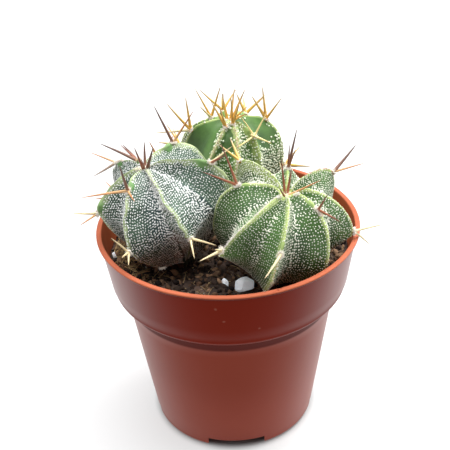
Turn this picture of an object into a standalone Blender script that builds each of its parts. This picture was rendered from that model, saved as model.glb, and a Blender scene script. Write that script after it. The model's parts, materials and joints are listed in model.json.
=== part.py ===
"""Monks hood cactus: three ribbed plants with spines, standing in soil in a round plastic nursery pot.

Metres, +Z up. The origin is the middle of the pot's foot, on the surface that the pot stands on. The pot's
front, as it is usually seen, faces -Y.
"""

import math
import random
from typing import NamedTuple

import bmesh
import bpy
from mathutils import Matrix, Vector, noise
from mathutils.bvhtree import BVHTree

MM = 0.001
GAP = 0.3 * MM  # between pieces that touch
UP = Vector((0, 0, 1))

# Pot
POT_HEIGHT = 73.5 * MM
LIP_RADIUS = 42.5 * MM
LIP_WIDTH = 1.7 * MM
LIP_HEIGHT = 1.0 * MM
POT_WALL = 1.1 * MM
COLLAR_TOP_RADIUS = 41.6 * MM
COLLAR_LOW_RADIUS = 38.7 * MM
COLLAR_LOW_Z = 52.5 * MM
COLLAR_ROUND = 2.0 * MM
WALL_TOP_RADIUS = 35.2 * MM
FOOT_RADIUS = 28.0 * MM
FOOT_ROUND = 2.0 * MM
FOOT_RING_WIDTH = 5.0 * MM
FOOT_RECESS = 2.2 * MM
BOSS_RADIUS = 8.0 * MM
NOTCH_WIDTH = 19.0 * MM
NOTCH_HEIGHT = 1.8 * MM
NOTCH_COUNT = 4
DRAIN_COUNT = 6
DRAIN_RADIUS = 3.0 * MM
DRAIN_CIRCLE = 16.0 * MM
SIDES = 48  # of every turned shape

# Soil
SOIL_Z = 63.5 * MM
SOIL_LUMP = 1.1 * MM
SOIL_DISH = 2.4 * MM  # how far it dips round a plant
SOIL_RINGS = (36.0, 32.5, 28.5, 24.0, 19.0, 14.0, 9.0, 4.5)  # mm

# Plants
ROWS = 16  # from crown to soil line
NECK_ROWS = 2
STEPS_TO_VALLEY = 3
NECK_DEPTH = 9.0 * MM
NECK_TAPER = 2.0 * MM
VALLEY_REACH = 0.66  # of the reach of the ridges beside it
VALLEY_SKIRT = 1.4
FLANK_BULGE = 0.015
SPINE_RADIUS = 0.5 * MM
SPINE_ROOT = 0.9 * MM
SPINE_SIDES = 3
WOOL_SIZE = (1.5 * MM, 1.2 * MM, 0.8 * MM)
CROWN_WOOL = 2.6 * MM
SPINE_CLEARANCE = 0.8 * MM


class Areole(NamedTuple):
    """A woolly cushion on a ridge, at a place from 0 at the crown to 1 at the soil line.

    A spine is its bearing from +X and its rise above level, in degrees, and its length in millimetres.
    An areole with no spines of its own has the usual fan.
    """

    place: float
    spines: tuple = ()


class Rib(NamedTuple):
    """A rib's ridge, seen in the plant's own upright frame: degrees and millimetres."""

    turn: float  # round the plant's axis, at a third of the way down
    reach: float  # from the axis to the widest place
    level: float  # of the widest place, above the soil line
    shoulder: float  # fullness above it: 2 is round, 3 is square
    skirt: float  # fullness below it: 1 is straight
    sweep: float  # how far the ridge drifts round, from crown to soil line
    valley_turn: float  # how far the valley after it lies past the middle
    areoles: tuple


class Plant(NamedTuple):
    """A plant with eight ribs, listed anticlockwise from above."""

    name: str
    base: tuple  # mm, where its axis meets the soil line
    lean: tuple  # degrees, towards +X and towards +Y
    height: float  # mm, of the ridges at the crown
    neck: float  # mm, radius at the soil line
    dip: float  # mm, of the crown's middle
    valley_shoulder: float  # fullness of the valleys' upper part
    ribs: tuple
    crown_spines: tuple
    seed: int


RIGHT = Plant(
    name="cactus_right",
    base=(13.5, -14.0),
    lean=(7.8, -7.5),
    height=32.6,
    neck=6.5,
    dip=3.3,
    valley_shoulder=3.0,
    ribs=(
        Rib(173, 20.8, 14.3, 3.3, 1.75, -9, 9, (Areole(0.19, ((153, 71, 14), (186, 28, 12))), Areole(0.55))),
        Rib(227, 26.3, 18.8, 2.25, 1.0, -31, 0, (Areole(0.45, ((229, 10, 10), (252, 36, 7))),)),
        Rib(264, 22.3, 14.1, 2.8, 1.7, -19, -14, (
            Areole(0.37, ((239, -16, 10), (283, 10, 8))),
            Areole(0.74),
        )),
        Rib(322, 18.5, 12.5, 2.2, 1.4, -16, 6, (Areole(0.19, ((297, 57, 9), (306, 2, 10))), Areole(0.46))),
        Rib(367, 23.7, 14.4, 1.75, 1.05, -13, 0, (Areole(0.47, ((17, 3, 10), (15, -46, 9))),)),
        Rib(405, 25.7, 16.9, 3.2, 1.4, -7, 0, (Areole(0.33, ((33, 33, 12), (13, 9, 11))), Areole(0.66))),
        Rib(441, 23.1, 15.1, 2.5, 1.4, -12, 0, (
            Areole(0.13, ((29, 76, 13), (278, 80, 9), (300, 66, 9))),
            Areole(0.50),
        )),
        Rib(482, 26.0, 16.2, 3.0, 1.4, -12, -13, (Areole(0.33, ((109, 25, 10), (160, 35, 9))), Areole(0.62))),
    ),
    crown_spines=((108, 78, 11), (239, 51, 6), (350, 30, 11), (60, 66, 8)),
    seed=11,
)
LEFT = Plant(
    name="cactus_left",
    base=(-17.1, -1.4),
    lean=(-13.0, -4.6),
    height=35.8,
    neck=6.3,
    dip=2.3,
    valley_shoulder=1.7,
    ribs=(
        Rib(49, 23.8, 18.5, 2.4, 1.45, -20, 0, (Areole(0.18, ((166, 66, 14), (10, 54, 13))), Areole(0.52))),
        Rib(80, 17.0, 17.5, 1.6, 1.4, 0, 0, (Areole(0.30), Areole(0.62))),
        Rib(112, 18.0, 17.8, 1.6, 1.4, 0, 0, (
            Areole(0.20, ((158, 21, 14), (127, 20, 9), (138, 24, 9))),
            Areole(0.48),
        )),
        Rib(138, 20.3, 19.2, 2.4, 1.45, -5, 0, (Areole(0.22, ((154, 12, 10), (190, -30, 9))), Areole(0.56))),
        Rib(199, 18.9, 24.8, 1.7, 1.4, -3, 0, (Areole(0.48, ((224, 24, 10), (240, 1, 9))),)),
        Rib(246, 22.4, 18.0, 2.0, 1.35, 6, 16, (
            Areole(0.17, ((223, 77, 10), (205, 8, 15), (289, 0, 8))),
            Areole(0.49, ((274, 4, 8), (214, 56, 9), (258, 22, 7))),
            Areole(0.86, ((80, -40, 5),)),
        )),
        Rib(292, 23.8, 19.5, 1.6, 1.0, 21, 6, (Areole(0.58, ((322, 8, 10), (277, -12, 9))),)),
        Rib(348, 25.4, 21.6, 3.2, 1.45, 5, 14, (Areole(0.27, ((312, 26, 9), (20, 30, 8))), Areole(0.62))),
    ),
    crown_spines=((239, 69, 10), (320, 67, 9), (266, 54, 7), (90, 66, 8)),
    seed=23,
)
BACK = Plant(
    name="cactus_back",
    base=(-0.2, 28.5),
    lean=(3.6, -7.4),
    height=36.1,
    neck=7.8,
    dip=1.0,
    valley_shoulder=2.3,
    ribs=(
        Rib(183, 15.5, 17.3, 3.2, 1.8, -33, 0, (
            Areole(0.27, ((182, 51, 13), (120, 80, 12), (200, 6, 13))),
            Areole(0.60),
        )),
        Rib(243, 18.2, 16.7, 2.4, 1.8, -38, -6, (Areole(0.07, ((172, 63, 10), (235, 70, 10))), Areole(0.50))),
        Rib(278, 17.7, 16.5, 2.2, 1.8, -30, 6, (Areole(0.05, ((265, 78, 11), (300, 62, 10))), Areole(0.55))),
        Rib(317, 16.0, 16.5, 2.4, 1.8, -32, 0, (
            Areole(0.20, ((233, 50, 8), (231, 38, 8), (307, 52, 8), (242, 6, 8), (283, 10, 6))),
            Areole(0.58),
        )),
        Rib(370, 19.7, 17.1, 2.7, 1.8, -32, 0, (
            Areole(0.19, ((121, 82, 12), (170, 62, 10), (351, 56, 10))),
            Areole(0.52),
        )),
        Rib(414, 15.0, 18.5, 2.4, 1.1, -32, 0, (Areole(0.24), Areole(0.56))),
        Rib(459, 14.0, 19.5, 2.4, 1.0, -32, 0, (Areole(0.16), Areole(0.50))),
        Rib(512, 19.7, 16.3, 1.8, 1.8, -30, 0, (
            Areole(0.12, ((173, 65, 12), (17, 72, 12), (226, 47, 8))),
            Areole(0.46),
        )),
    ),
    crown_spines=((10, 68, 12), (334, 45, 9), (149, 80, 10), (60, 75, 11), (320, 33, 8)),
    seed=37,
)
PLANTS = (RIGHT, LEFT, BACK)

# White perlite grains: name, middle in plan, half sizes, and height of the middle above the soil, in mm
GRAINS = (
    ("perlite_large", (3.6, -21.8), (3.3, 2.6, 2.4), 1.1),
    ("perlite_small", (-1.4, -22.4), (1.0, 1.5, 1.1), 0.5),
    ("perlite_left", (-37.2, -3.5), (0.9, 1.1, 1.1), 0.5),
)

# Base colour, roughness
FINISHES = {
    "pot": ((0.40, 0.115, 0.070), 0.42),
    "soil": ((0.030, 0.019, 0.013), 0.95),
    "cactus_right": ((0.085, 0.150, 0.060), 0.62),
    "cactus_left": ((0.150, 0.195, 0.150), 0.66),
    "cactus_back": ((0.100, 0.190, 0.060), 0.58),
    "perlite": ((0.80, 0.82, 0.84), 0.9),
}


def clear_scene():
    for obj in list(bpy.data.objects):
        bpy.data.objects.remove(obj, do_unlink=True)


def make_object(name, bm, finish):
    """An object of the mesh, shaded smooth, with its own material."""
    mesh = bpy.data.meshes.new(name)
    bmesh.ops.recalc_face_normals(bm, faces=bm.faces)
    bm.to_mesh(mesh)
    bm.free()
    mesh.shade_smooth()
    mesh.set_sharp_from_angle(angle=math.radians(35))
    obj = bpy.data.objects.new(name, mesh)
    bpy.context.scene.collection.objects.link(obj)
    colour, roughness = FINISHES[finish]
    material = bpy.data.materials.new(name)
    material.use_nodes = True
    shader = material.node_tree.nodes["Principled BSDF"]
    shader.inputs["Base Color"].default_value = (*colour, 1.0)
    shader.inputs["Roughness"].default_value = roughness
    shader.inputs["Metallic"].default_value = 0.0
    mesh.materials.append(material)
    return obj


def make_cutter(name, bm):
    """A helper that cuts and is never part of the model."""
    mesh = bpy.data.meshes.new(name)
    bmesh.ops.recalc_face_normals(bm, faces=bm.faces)
    bm.to_mesh(mesh)
    bm.free()
    obj = bpy.data.objects.new(name, mesh)
    bpy.context.scene.collection.objects.link(obj)
    obj.hide_render = True
    obj.display_type = "WIRE"
    return obj


def combine(obj, others, operation, solver="EXACT"):
    """One Boolean of all the others on the object, applied, with the others then removed."""
    group = bpy.data.collections.new("helpers")
    bpy.context.scene.collection.children.link(group)
    for other in others:
        group.objects.link(other)
    modifier = obj.modifiers.new(operation.lower(), "BOOLEAN")
    modifier.operand_type = "COLLECTION"
    modifier.collection = group
    modifier.operation = operation
    modifier.solver = solver
    graph = bpy.context.evaluated_depsgraph_get()
    mesh = bpy.data.meshes.new_from_object(obj.evaluated_get(graph))
    obj.modifiers.clear()
    old = obj.data
    materials = list(old.materials)
    obj.data = mesh
    mesh.name = obj.name
    bpy.data.meshes.remove(old)
    mesh.materials.clear()
    for material in materials:
        mesh.materials.append(material)
    for other in others:
        bpy.data.objects.remove(other, do_unlink=True)
    bpy.data.collections.remove(group)


def polar(radius, turn):
    return Vector((radius * math.cos(turn), radius * math.sin(turn)))


def arc(centre, radius, start, end, steps):
    """Points of a quarter round in a profile, with angles in degrees from +X."""
    angles = [math.radians(start + (end - start) * i / steps) for i in range(steps + 1)]
    return [(centre[0] + radius * math.cos(a), centre[1] + radius * math.sin(a)) for a in angles]


def turned(profile, sides=SIDES):
    """A closed solid turned about Z from a profile whose two ends lie on the axis."""
    bm = bmesh.new()
    verts = [bm.verts.new((radius, 0.0, z)) for radius, z in profile]
    edges = [bm.edges.new(pair) for pair in zip(verts, verts[1:])]
    bmesh.ops.spin(
        bm, geom=verts + edges, cent=(0, 0, 0), axis=(0, 0, 1), angle=math.tau, steps=sides, use_merge=True
    )
    bmesh.ops.remove_doubles(bm, verts=bm.verts, dist=1e-6)
    return bm


def collar_line(z):
    """The collar's outer radius at a height."""
    t = (z - COLLAR_LOW_Z) / (POT_HEIGHT - LIP_HEIGHT - COLLAR_LOW_Z)
    return COLLAR_LOW_RADIUS + t * (COLLAR_TOP_RADIUS - COLLAR_LOW_RADIUS)


def wall_line(z):
    """The lower wall's outer radius at a height."""
    t = (z - FOOT_ROUND) / (COLLAR_LOW_Z - FOOT_ROUND)
    return FOOT_RADIUS + t * (WALL_TOP_RADIUS - FOOT_RADIUS)


def pot_inside(gap=0.0):
    """The inner wall's profile from the floor up to under the lip, drawn in by a gap."""
    floor = FOOT_RECESS + POT_WALL
    ledge = COLLAR_LOW_Z + POT_WALL
    inset = POT_WALL + gap
    top = POT_HEIGHT - LIP_HEIGHT
    return [
        (FOOT_RADIUS - inset - 1.2 * MM, floor + gap),
        (wall_line(floor + gap + 1.5 * MM) - inset, floor + gap + 1.5 * MM),
        (wall_line(ledge) - inset, ledge + gap),
        (collar_line(ledge) - inset - 1.0 * MM, ledge + gap),
        (collar_line(ledge + gap + 1.4 * MM) - inset, ledge + gap + 1.4 * MM),
        (collar_line(top) - inset, top),
    ]


def make_pot():
    low_centre = (COLLAR_LOW_RADIUS - COLLAR_ROUND, COLLAR_LOW_Z + COLLAR_ROUND)
    ring_inner = FOOT_RADIUS - FOOT_RING_WIDTH
    lip_edge = 0.25 * MM
    profile = [
        (0.0, 0.0),
        (BOSS_RADIUS, 0.0),
        (BOSS_RADIUS + 0.5 * MM, FOOT_RECESS),
        (ring_inner - 0.5 * MM, FOOT_RECESS),
        (ring_inner, 0.0),
    ]
    profile += arc((FOOT_RADIUS - FOOT_ROUND, FOOT_ROUND), FOOT_ROUND, -90, 0, 3)
    profile += [(WALL_TOP_RADIUS, COLLAR_LOW_Z)]
    profile += arc(low_centre, COLLAR_ROUND, -90, 0, 3)
    profile += [
        (COLLAR_TOP_RADIUS, POT_HEIGHT - LIP_HEIGHT),
        (LIP_RADIUS, POT_HEIGHT - LIP_HEIGHT + 0.1 * MM),
        (LIP_RADIUS, POT_HEIGHT - lip_edge),
        (LIP_RADIUS - lip_edge, POT_HEIGHT),
        (LIP_RADIUS - LIP_WIDTH + lip_edge, POT_HEIGHT),
        (LIP_RADIUS - LIP_WIDTH, POT_HEIGHT - lip_edge),
    ]
    profile += reversed(pot_inside())
    profile += [(0.0, FOOT_RECESS + POT_WALL)]
    pot = make_object("pot", turned(profile), "pot")
    cutters = []
    for i in range(DRAIN_COUNT):
        turn = math.tau * (i + 0.5) / DRAIN_COUNT
        middle = polar(DRAIN_CIRCLE, turn).to_3d() + UP * (FOOT_RECESS + POT_WALL / 2)
        bm = bmesh.new()
        bmesh.ops.create_cone(
            bm, cap_ends=True, segments=12, radius1=DRAIN_RADIUS, radius2=DRAIN_RADIUS, depth=4 * POT_WALL,
            matrix=Matrix.Translation(middle),
        )
        cutters.append(make_cutter(f"drain_{i}", bm))
    for i in range(NOTCH_COUNT):
        turn = math.radians(-90) + math.tau * i / NOTCH_COUNT
        place = Matrix.Rotation(turn, 4, "Z") @ Matrix.Translation((FOOT_RADIUS, 0, 0))
        size = Matrix.Diagonal((2.4 * FOOT_RING_WIDTH, NOTCH_WIDTH, 2 * NOTCH_HEIGHT, 1.0))
        bm = bmesh.new()
        bmesh.ops.create_cube(bm, size=1.0, matrix=place @ size)
        cutters.append(make_cutter(f"notch_{i}", bm))
    combine(pot, cutters, "DIFFERENCE")
    return pot


def soil_height(x, y):
    """The soil's height in metres, over a place in plan: lumps, and a dip round each plant."""
    lumps = noise.noise(Vector((x, y, 0.0)) * 95) + 0.4 * noise.noise(Vector((x, y, 0.03)) * 240)
    near = min(math.hypot(x - p.base[0] * MM, y - p.base[1] * MM) for p in PLANTS)
    dip = min(1.0, max(0.0, (19 * MM - near) / (6 * MM)))
    dip = dip * dip * (3 - 2 * dip)
    return SOIL_Z + SOIL_LUMP * lumps * (1 - dip) - SOIL_DISH * dip


def make_soil(grains):
    side = pot_inside(GAP)[:-1]
    top = side[-1]
    profile = [(0.0, side[0][1])] + side + [(collar_line(SOIL_Z) - POT_WALL - GAP, SOIL_Z)]
    profile += [(radius * MM, SOIL_Z) for radius in SOIL_RINGS] + [(0.0, SOIL_Z)]
    bm = turned(profile)
    for vert in bm.verts:
        if vert.co.z > top[1] + 1 * MM:
            vert.co.z = soil_height(vert.co.x, vert.co.y)
            edge = collar_line(vert.co.z) - POT_WALL - GAP
            vert.co.xy *= min(1.0, edge / max(edge / 2, vert.co.xy.length))
    soil = make_object("soil", bm, "soil")
    cutters = []
    for plant in PLANTS:
        deep, proud = NECK_DEPTH + 0.8 * MM, 4 * MM
        slope = NECK_TAPER / NECK_DEPTH
        radius = plant.neck * MM + GAP
        bm = bmesh.new()
        bmesh.ops.create_cone(
            bm, cap_ends=True, segments=24, radius1=radius - slope * deep, radius2=radius + slope * proud,
            depth=deep + proud, matrix=plant_frame(plant) @ Matrix.Translation((0, 0, (proud - deep) / 2)),
        )
        cutters.append(make_cutter(f"hole_{plant.name}", bm))
    for name, middle, half, rise in grains:
        cutters.append(make_cutter(f"seat_{name}", grain_mesh(name, middle, half, rise, GAP)))
    combine(soil, cutters, "DIFFERENCE")
    return soil


def grain_mesh(name, middle, half, rise, swell=0.0):
    """A rough lump, with its size in half lengths."""
    x, y = middle[0] * MM, middle[1] * MM
    bm = bmesh.new()
    bmesh.ops.create_icosphere(bm, subdivisions=2, radius=1.0)
    for vert in bm.verts:
        rough = 1 + 0.16 * noise.noise(vert.co * 1.7 + Vector((len(name), 0, 0)))
        vert.co = Vector([c * rough * (h * MM + swell) for c, h in zip(vert.co, half)])
    bmesh.ops.rotate(bm, verts=bm.verts, matrix=Matrix.Rotation(math.radians(25), 3, "Z"))
    bmesh.ops.translate(bm, verts=bm.verts, vec=(x, y, soil_height(x, y) + rise * MM))
    return bm


def plant_frame(plant):
    """The plant's own frame: its origin on the soil line and its Z along its leaning axis."""
    lean_x, lean_y = (math.sin(math.radians(a)) for a in plant.lean)
    up = Vector((lean_x, lean_y, math.sqrt(1 - lean_x**2 - lean_y**2)))
    side = (Vector((1, 0, 0)) - up * up.x).normalized()
    frame = Matrix((side, up.cross(side), up)).transposed().to_4x4()
    frame.translation = Vector((plant.base[0] * MM, plant.base[1] * MM, SOIL_Z))
    return frame


def outline(reach, level, top, neck, shoulder, skirt, t):
    """Radius and height of a globe's outline: the top at t = 0, the widest place at 0.5 and the neck at 1."""
    if t <= 0.5:
        angle = t * math.pi
        radius = reach * math.sin(angle) ** (2 / shoulder)
        return radius, level + (top - level) * max(0.0, math.cos(angle)) ** (2 / shoulder)
    angle = (t - 0.5) * math.pi
    radius = neck + (reach - neck) * max(0.0, math.cos(angle)) ** (2 / skirt)
    return radius, level * (1 - math.sin(angle) ** (2 / skirt))


def ridge(plant, rib, t):
    """Radius, height and turn of a rib's ridge in the plant's frame, from crown to soil line."""
    radius, height = outline(rib.reach, rib.level, plant.height, plant.neck, rib.shoulder, rib.skirt, t)
    height -= plant.dip * math.exp(-((radius / (0.16 * rib.reach)) ** 2))
    return radius * MM, height * MM, math.radians(rib.turn + rib.sweep * (t - 0.35))


def valley(plant, near, far, t):
    """The same of the valley between two ribs, which starts from the dip in the crown."""
    reach = VALLEY_REACH * (near.reach + far.reach) / 2
    level = (near.level + far.level) / 2
    top = plant.height - plant.dip
    radius, height = outline(reach, level, top, plant.neck, plant.valley_shoulder, VALLEY_SKIRT, t)
    far_turn = far.turn if far.turn > near.turn else far.turn + 360
    turn = (near.turn + far_turn + (near.sweep + far.sweep) * (t - 0.35)) / 2 + near.valley_turn
    return radius * MM, height * MM, math.radians(turn)


def surface_point(plant, index, u, t):
    """A point between the ridges of a rib at u = 0 and of the next at u = 2, with the valley at u = 1."""
    near, far = plant.ribs[index % len(plant.ribs)], plant.ribs[(index + 1) % len(plant.ribs)]
    rib, v, side = (near, u, 1) if u <= 1 else (far, 2 - u, -1)
    radius, height, turn = ridge(plant, rib, t)
    low_radius, low_height, low_turn = valley(plant, near, far, t)
    start, end = polar(radius, turn), polar(low_radius, low_turn)
    span = end - start
    across = Vector((span.y, -span.x)) * side
    flat = start + span * v - across * (FLANK_BULGE * 4 * v * (1 - v))
    return Vector((flat.x, flat.y, height + (low_height - height) * v))


def body_mesh(plant, swell=0.0):
    """The ribbed body and its neck below the soil line: a globe, its rows and columns moved to the ribs."""
    columns = 2 * STEPS_TO_VALLEY * len(plant.ribs)
    rows = ROWS + NECK_ROWS + 1
    bm = bmesh.new()
    bmesh.ops.create_uvsphere(bm, u_segments=columns, v_segments=rows, radius=1.0)
    for vert in bm.verts:
        row = round(math.acos(max(-1.0, min(1.0, vert.co.z))) / math.pi * rows)
        column = round(math.atan2(vert.co.y, vert.co.x) / math.tau * columns) % columns
        index, step = divmod(column, 2 * STEPS_TO_VALLEY)
        point = surface_point(plant, index, step / STEPS_TO_VALLEY, min(1.0, row / ROWS))
        if row > ROWS:
            down = (row - ROWS) / NECK_ROWS
            shrink = 1 - NECK_TAPER / (plant.neck * MM) * min(1.0, down)
            point = Vector((point.x * shrink, point.y * shrink, -NECK_DEPTH * min(1.0, down)))
            if row == rows:
                point = Vector((0.0, 0.0, -NECK_DEPTH - 0.4 * MM))
        vert.co = point
    bmesh.ops.recalc_face_normals(bm, faces=bm.faces)
    if swell:
        bm.normal_update()
        moved = [vert.co + vert.normal * swell for vert in bm.verts]
        for vert, place in zip(bm.verts, moved):
            vert.co = place
    bmesh.ops.transform(bm, matrix=plant_frame(plant), verts=bm.verts)
    return bm


def areole_frame(plant, index, place):
    """World point, outward direction and direction towards the crown at an areole."""
    before, here, after = (surface_point(plant, index, 0.0, t) for t in (place - 0.03, place, place + 0.03))
    along = (before - after).normalized()
    aside = Vector((0, 0, 1)).cross(Vector((here.x, here.y, 0))).normalized()
    outward = aside.cross(along)
    if outward.dot(Vector((here.x, here.y, 0.3 * abs(here.z)))) < 0:
        outward = -outward
    frame = plant_frame(plant)
    turn = frame.to_3x3()
    return frame @ here, (turn @ outward).normalized(), (turn @ along).normalized()


def wool_mesh(point, outward, along, size):
    """A low cushion of wool lying on the ridge."""
    aside = outward.cross(along).normalized()
    place = Matrix((along * size[0], aside * size[1], outward * size[2])).transposed().to_4x4()
    place.translation = point
    bm = bmesh.new()
    bmesh.ops.create_icosphere(bm, subdivisions=1, radius=1.0, matrix=place)
    return bm


def spine_mesh(point, direction, length):
    """A slim three-sided cone with its root sunk in the body."""
    root = point - direction * SPINE_ROOT
    place = direction.to_track_quat("Z", "Y").to_matrix().to_4x4()
    place.translation = root + direction * (length + SPINE_ROOT) / 2
    bm = bmesh.new()
    bmesh.ops.create_cone(
        bm, cap_ends=True, segments=SPINE_SIDES, radius1=SPINE_RADIUS, radius2=0.0, depth=length + SPINE_ROOT,
        matrix=place,
    )
    bmesh.ops.remove_doubles(bm, verts=bm.verts, dist=1e-7)
    return bm


def usual_fan(point, outward, along, draw):
    """Directions and lengths of the spines of an areole that has none named."""
    aside = outward.cross(along).normalized()
    start = draw.uniform(0, 360)
    for i in range(4):
        turn = math.radians(start + 90 * i + draw.uniform(-18, 18))
        lean = math.radians(draw.uniform(28, 55))
        across = along * math.cos(turn) + aside * math.sin(turn)
        yield outward * math.cos(lean) + across * math.sin(lean), draw.uniform(8, 12) * MM


def aimed(bearing, rise):
    """The direction with a bearing from +X and a rise above level, in degrees."""
    flat = math.cos(math.radians(rise))
    turn = math.radians(bearing)
    return Vector((flat * math.cos(turn), flat * math.sin(turn), math.sin(math.radians(rise))))


def is_inside(wall, place):
    """Whether a place is inside a closed mesh, by how often a line straight up from it meets the surface."""
    hits = 0
    hit = wall.ray_cast(place, UP)[0]
    while hit is not None:
        hits += 1
        hit = wall.ray_cast(hit + UP * 1e-6, UP)[0]
    return hits % 2 == 1


def has_room(place, clearance, walls):
    """Whether a place is outside the other pieces, by a clearance."""
    return all(wall.find_nearest(place)[3] > clearance and not is_inside(wall, place) for wall in walls)


def is_clear(point, direction, length, walls):
    """Whether a spine stays outside the other pieces, from near its root to its tip."""
    start = point + direction * 1.2 * MM
    if any(wall.ray_cast(start, direction, length)[0] is not None for wall in walls):
        return False
    places = [point + direction * length * share for share in (0.15, 0.4, 0.7, 1.0)]
    return all(has_room(place, SPINE_CLEARANCE, walls) for place in places)


def bent_clear(point, direction, length, outward, walls):
    """The spine's direction turned towards the outward one until it is clear, or None."""
    for step in range(5):
        tried = direction.lerp(outward, step / 4).normalized()
        if is_clear(point, tried, length, walls):
            return tried
    return None


def spines_of(plant, walls):
    """Every spine of a plant as its root point, direction and length, and every woolly cushion."""
    draw = random.Random(plant.seed)
    spines, cushions = [], []
    for index, rib in enumerate(plant.ribs):
        for areole in rib.areoles:
            point, outward, along = areole_frame(plant, index, areole.place)
            if not has_room(point, WOOL_SIZE[0] + GAP, walls):
                continue
            cushions.append((point, outward, along, WOOL_SIZE))
            named = [(aimed(bearing, rise), length * MM) for bearing, rise, length in areole.spines]
            for direction, length in named or usual_fan(point, outward, along, draw):
                tried = bent_clear(point, direction, length, outward, walls)
                if tried:
                    spines.append((point, tried, length))
    frame = plant_frame(plant)
    up = frame.to_3x3() @ Vector((0, 0, 1))
    crown = frame @ Vector((0, 0, (plant.height - plant.dip) * MM))
    cushions.append((crown, up, frame.to_3x3() @ Vector((1, 0, 0)), (CROWN_WOOL, CROWN_WOOL, 1.1 * MM)))
    for i, (bearing, rise, length) in enumerate(plant.crown_spines):
        root = crown + polar(0.9 * MM, math.radians(bearing)).to_3d()
        spines.append((root, aimed(bearing, rise), length * MM))
    return spines, cushions


def tree_of(bm):
    tree = BVHTree.FromBMesh(bm)
    bm.free()
    return tree


def soil_skin():
    """A plain sheet over the soil, for keeping spines off it."""
    bm = bmesh.new()
    bmesh.ops.create_grid(bm, x_segments=40, y_segments=40, size=38 * MM)
    for vert in bm.verts:
        vert.co.z = soil_height(vert.co.x, vert.co.y)
    return bm


def make_plant(plant, pressed_by, made):
    """One plant, with its flanks pressed in where an earlier plant leans on it."""
    body = make_object(plant.name, body_mesh(plant), plant.name)
    if pressed_by:
        presses = []
        for other in pressed_by:
            presses.append(make_cutter(f"press_{other.name}", body_mesh(other, GAP * 1.3)))
            for i, cushion in enumerate(spines_of(other, [])[1]):
                swollen = cushion[:3] + (tuple(s + 1.2 * GAP for s in cushion[3]),)
                presses.append(make_cutter(f"press_wool_{other.name}_{i}", wool_mesh(*swollen)))
        combine(body, presses, "DIFFERENCE", "MANIFOLD")
    walls = [tree_of(soil_skin())]
    for other in made:
        copy = bmesh.new()
        copy.from_mesh(other.data)
        walls.append(tree_of(copy))
    walls += [tree_of(body_mesh(other)) for other in PLANTS if other.name not in bpy.data.objects]
    spines, cushions = spines_of(plant, walls)
    extras = [make_cutter(f"wool_{i}", wool_mesh(*cushion)) for i, cushion in enumerate(cushions)]
    extras += [make_cutter(f"spine_{i}", spine_mesh(*spine)) for i, spine in enumerate(spines)]
    combine(body, extras, "UNION", "MANIFOLD")
    return body


def main():
    clear_scene()
    made = [make_pot()]
    make_soil(GRAINS)
    for i, plant in enumerate(PLANTS):
        made.append(make_plant(plant, PLANTS[:i], made))
    for name, middle, half, rise in GRAINS:
        make_object(name, grain_mesh(name, middle, half, rise), "perlite")


main()
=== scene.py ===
"""Looks of the potted monks hood cactus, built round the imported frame.

Metres, +Z up, in the frame's own place: the origin is the middle of the pot's foot and its front faces -Y.
"""

import itertools
import json
import math
import random
from typing import NamedTuple

import bmesh
import bpy
import numpy as np
from bpy.props import FloatProperty, FloatVectorProperty, PointerProperty
from mathutils import Matrix, Vector, noise
from mathutils.bvhtree import BVHTree

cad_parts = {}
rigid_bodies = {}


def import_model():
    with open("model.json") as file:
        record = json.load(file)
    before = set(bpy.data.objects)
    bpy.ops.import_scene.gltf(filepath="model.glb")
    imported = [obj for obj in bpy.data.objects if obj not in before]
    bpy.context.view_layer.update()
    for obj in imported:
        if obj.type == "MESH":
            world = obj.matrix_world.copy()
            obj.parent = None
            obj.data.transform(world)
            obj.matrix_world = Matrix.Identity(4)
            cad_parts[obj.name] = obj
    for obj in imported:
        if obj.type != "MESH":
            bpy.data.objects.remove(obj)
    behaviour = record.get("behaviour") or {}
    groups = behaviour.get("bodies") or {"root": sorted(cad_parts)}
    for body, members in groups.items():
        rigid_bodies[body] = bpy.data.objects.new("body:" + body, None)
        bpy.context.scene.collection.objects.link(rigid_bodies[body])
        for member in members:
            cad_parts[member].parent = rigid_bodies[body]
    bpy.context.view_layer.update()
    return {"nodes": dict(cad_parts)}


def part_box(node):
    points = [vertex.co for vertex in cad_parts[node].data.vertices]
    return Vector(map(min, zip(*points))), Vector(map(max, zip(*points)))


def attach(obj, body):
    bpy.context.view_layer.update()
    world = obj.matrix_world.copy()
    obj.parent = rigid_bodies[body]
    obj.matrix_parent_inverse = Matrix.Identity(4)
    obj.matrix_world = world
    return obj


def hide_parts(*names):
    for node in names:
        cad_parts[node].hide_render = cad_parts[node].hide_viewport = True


bl_info = {
    "name": "Potted cactus",
    "version": (1, 0, 0),
    "blender": (4, 5, 0),
    "location": "3D View > Sidebar > Cactus",
    "description": "Builds three flecked cacti with spines in soil in a plastic nursery pot",
    "category": "Object",
}

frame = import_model()

MM = 0.001
UP = Vector((0, 0, 1))
GAP = 0.3 * MM  # between pieces that touch

POT_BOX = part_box("pot")

# Pot: sizes as in its solid, apart from the notches' height
POT_WALL = 1.1 * MM
LIP_WIDTH = 1.7 * MM
LIP_HEIGHT = 1.0 * MM
COLLAR_TOP_RADIUS = 41.6 * MM
COLLAR_LOW_RADIUS = 38.7 * MM
COLLAR_LOW_Z = 52.5 * MM
COLLAR_ROUND = 2.0 * MM
WALL_TOP_RADIUS = 35.2 * MM
FOOT_RADIUS = 28.0 * MM
FOOT_ROUND = 2.0 * MM
FOOT_RING_WIDTH = 5.0 * MM
FOOT_RECESS = 2.2 * MM
BOSS_RADIUS = 8.0 * MM
NOTCHES = 4
NOTCH_WIDTH = 19.0 * MM
NOTCH_HEIGHT = 4.0 * MM
DRAINS = 6
DRAIN_RADIUS = 3.0 * MM
DRAIN_CIRCLE = 16.0 * MM

# Soil
SOIL_Z = 63.5 * MM
SOIL_LUMP = 1.1 * MM
SOIL_DISH = 2.4 * MM

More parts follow.
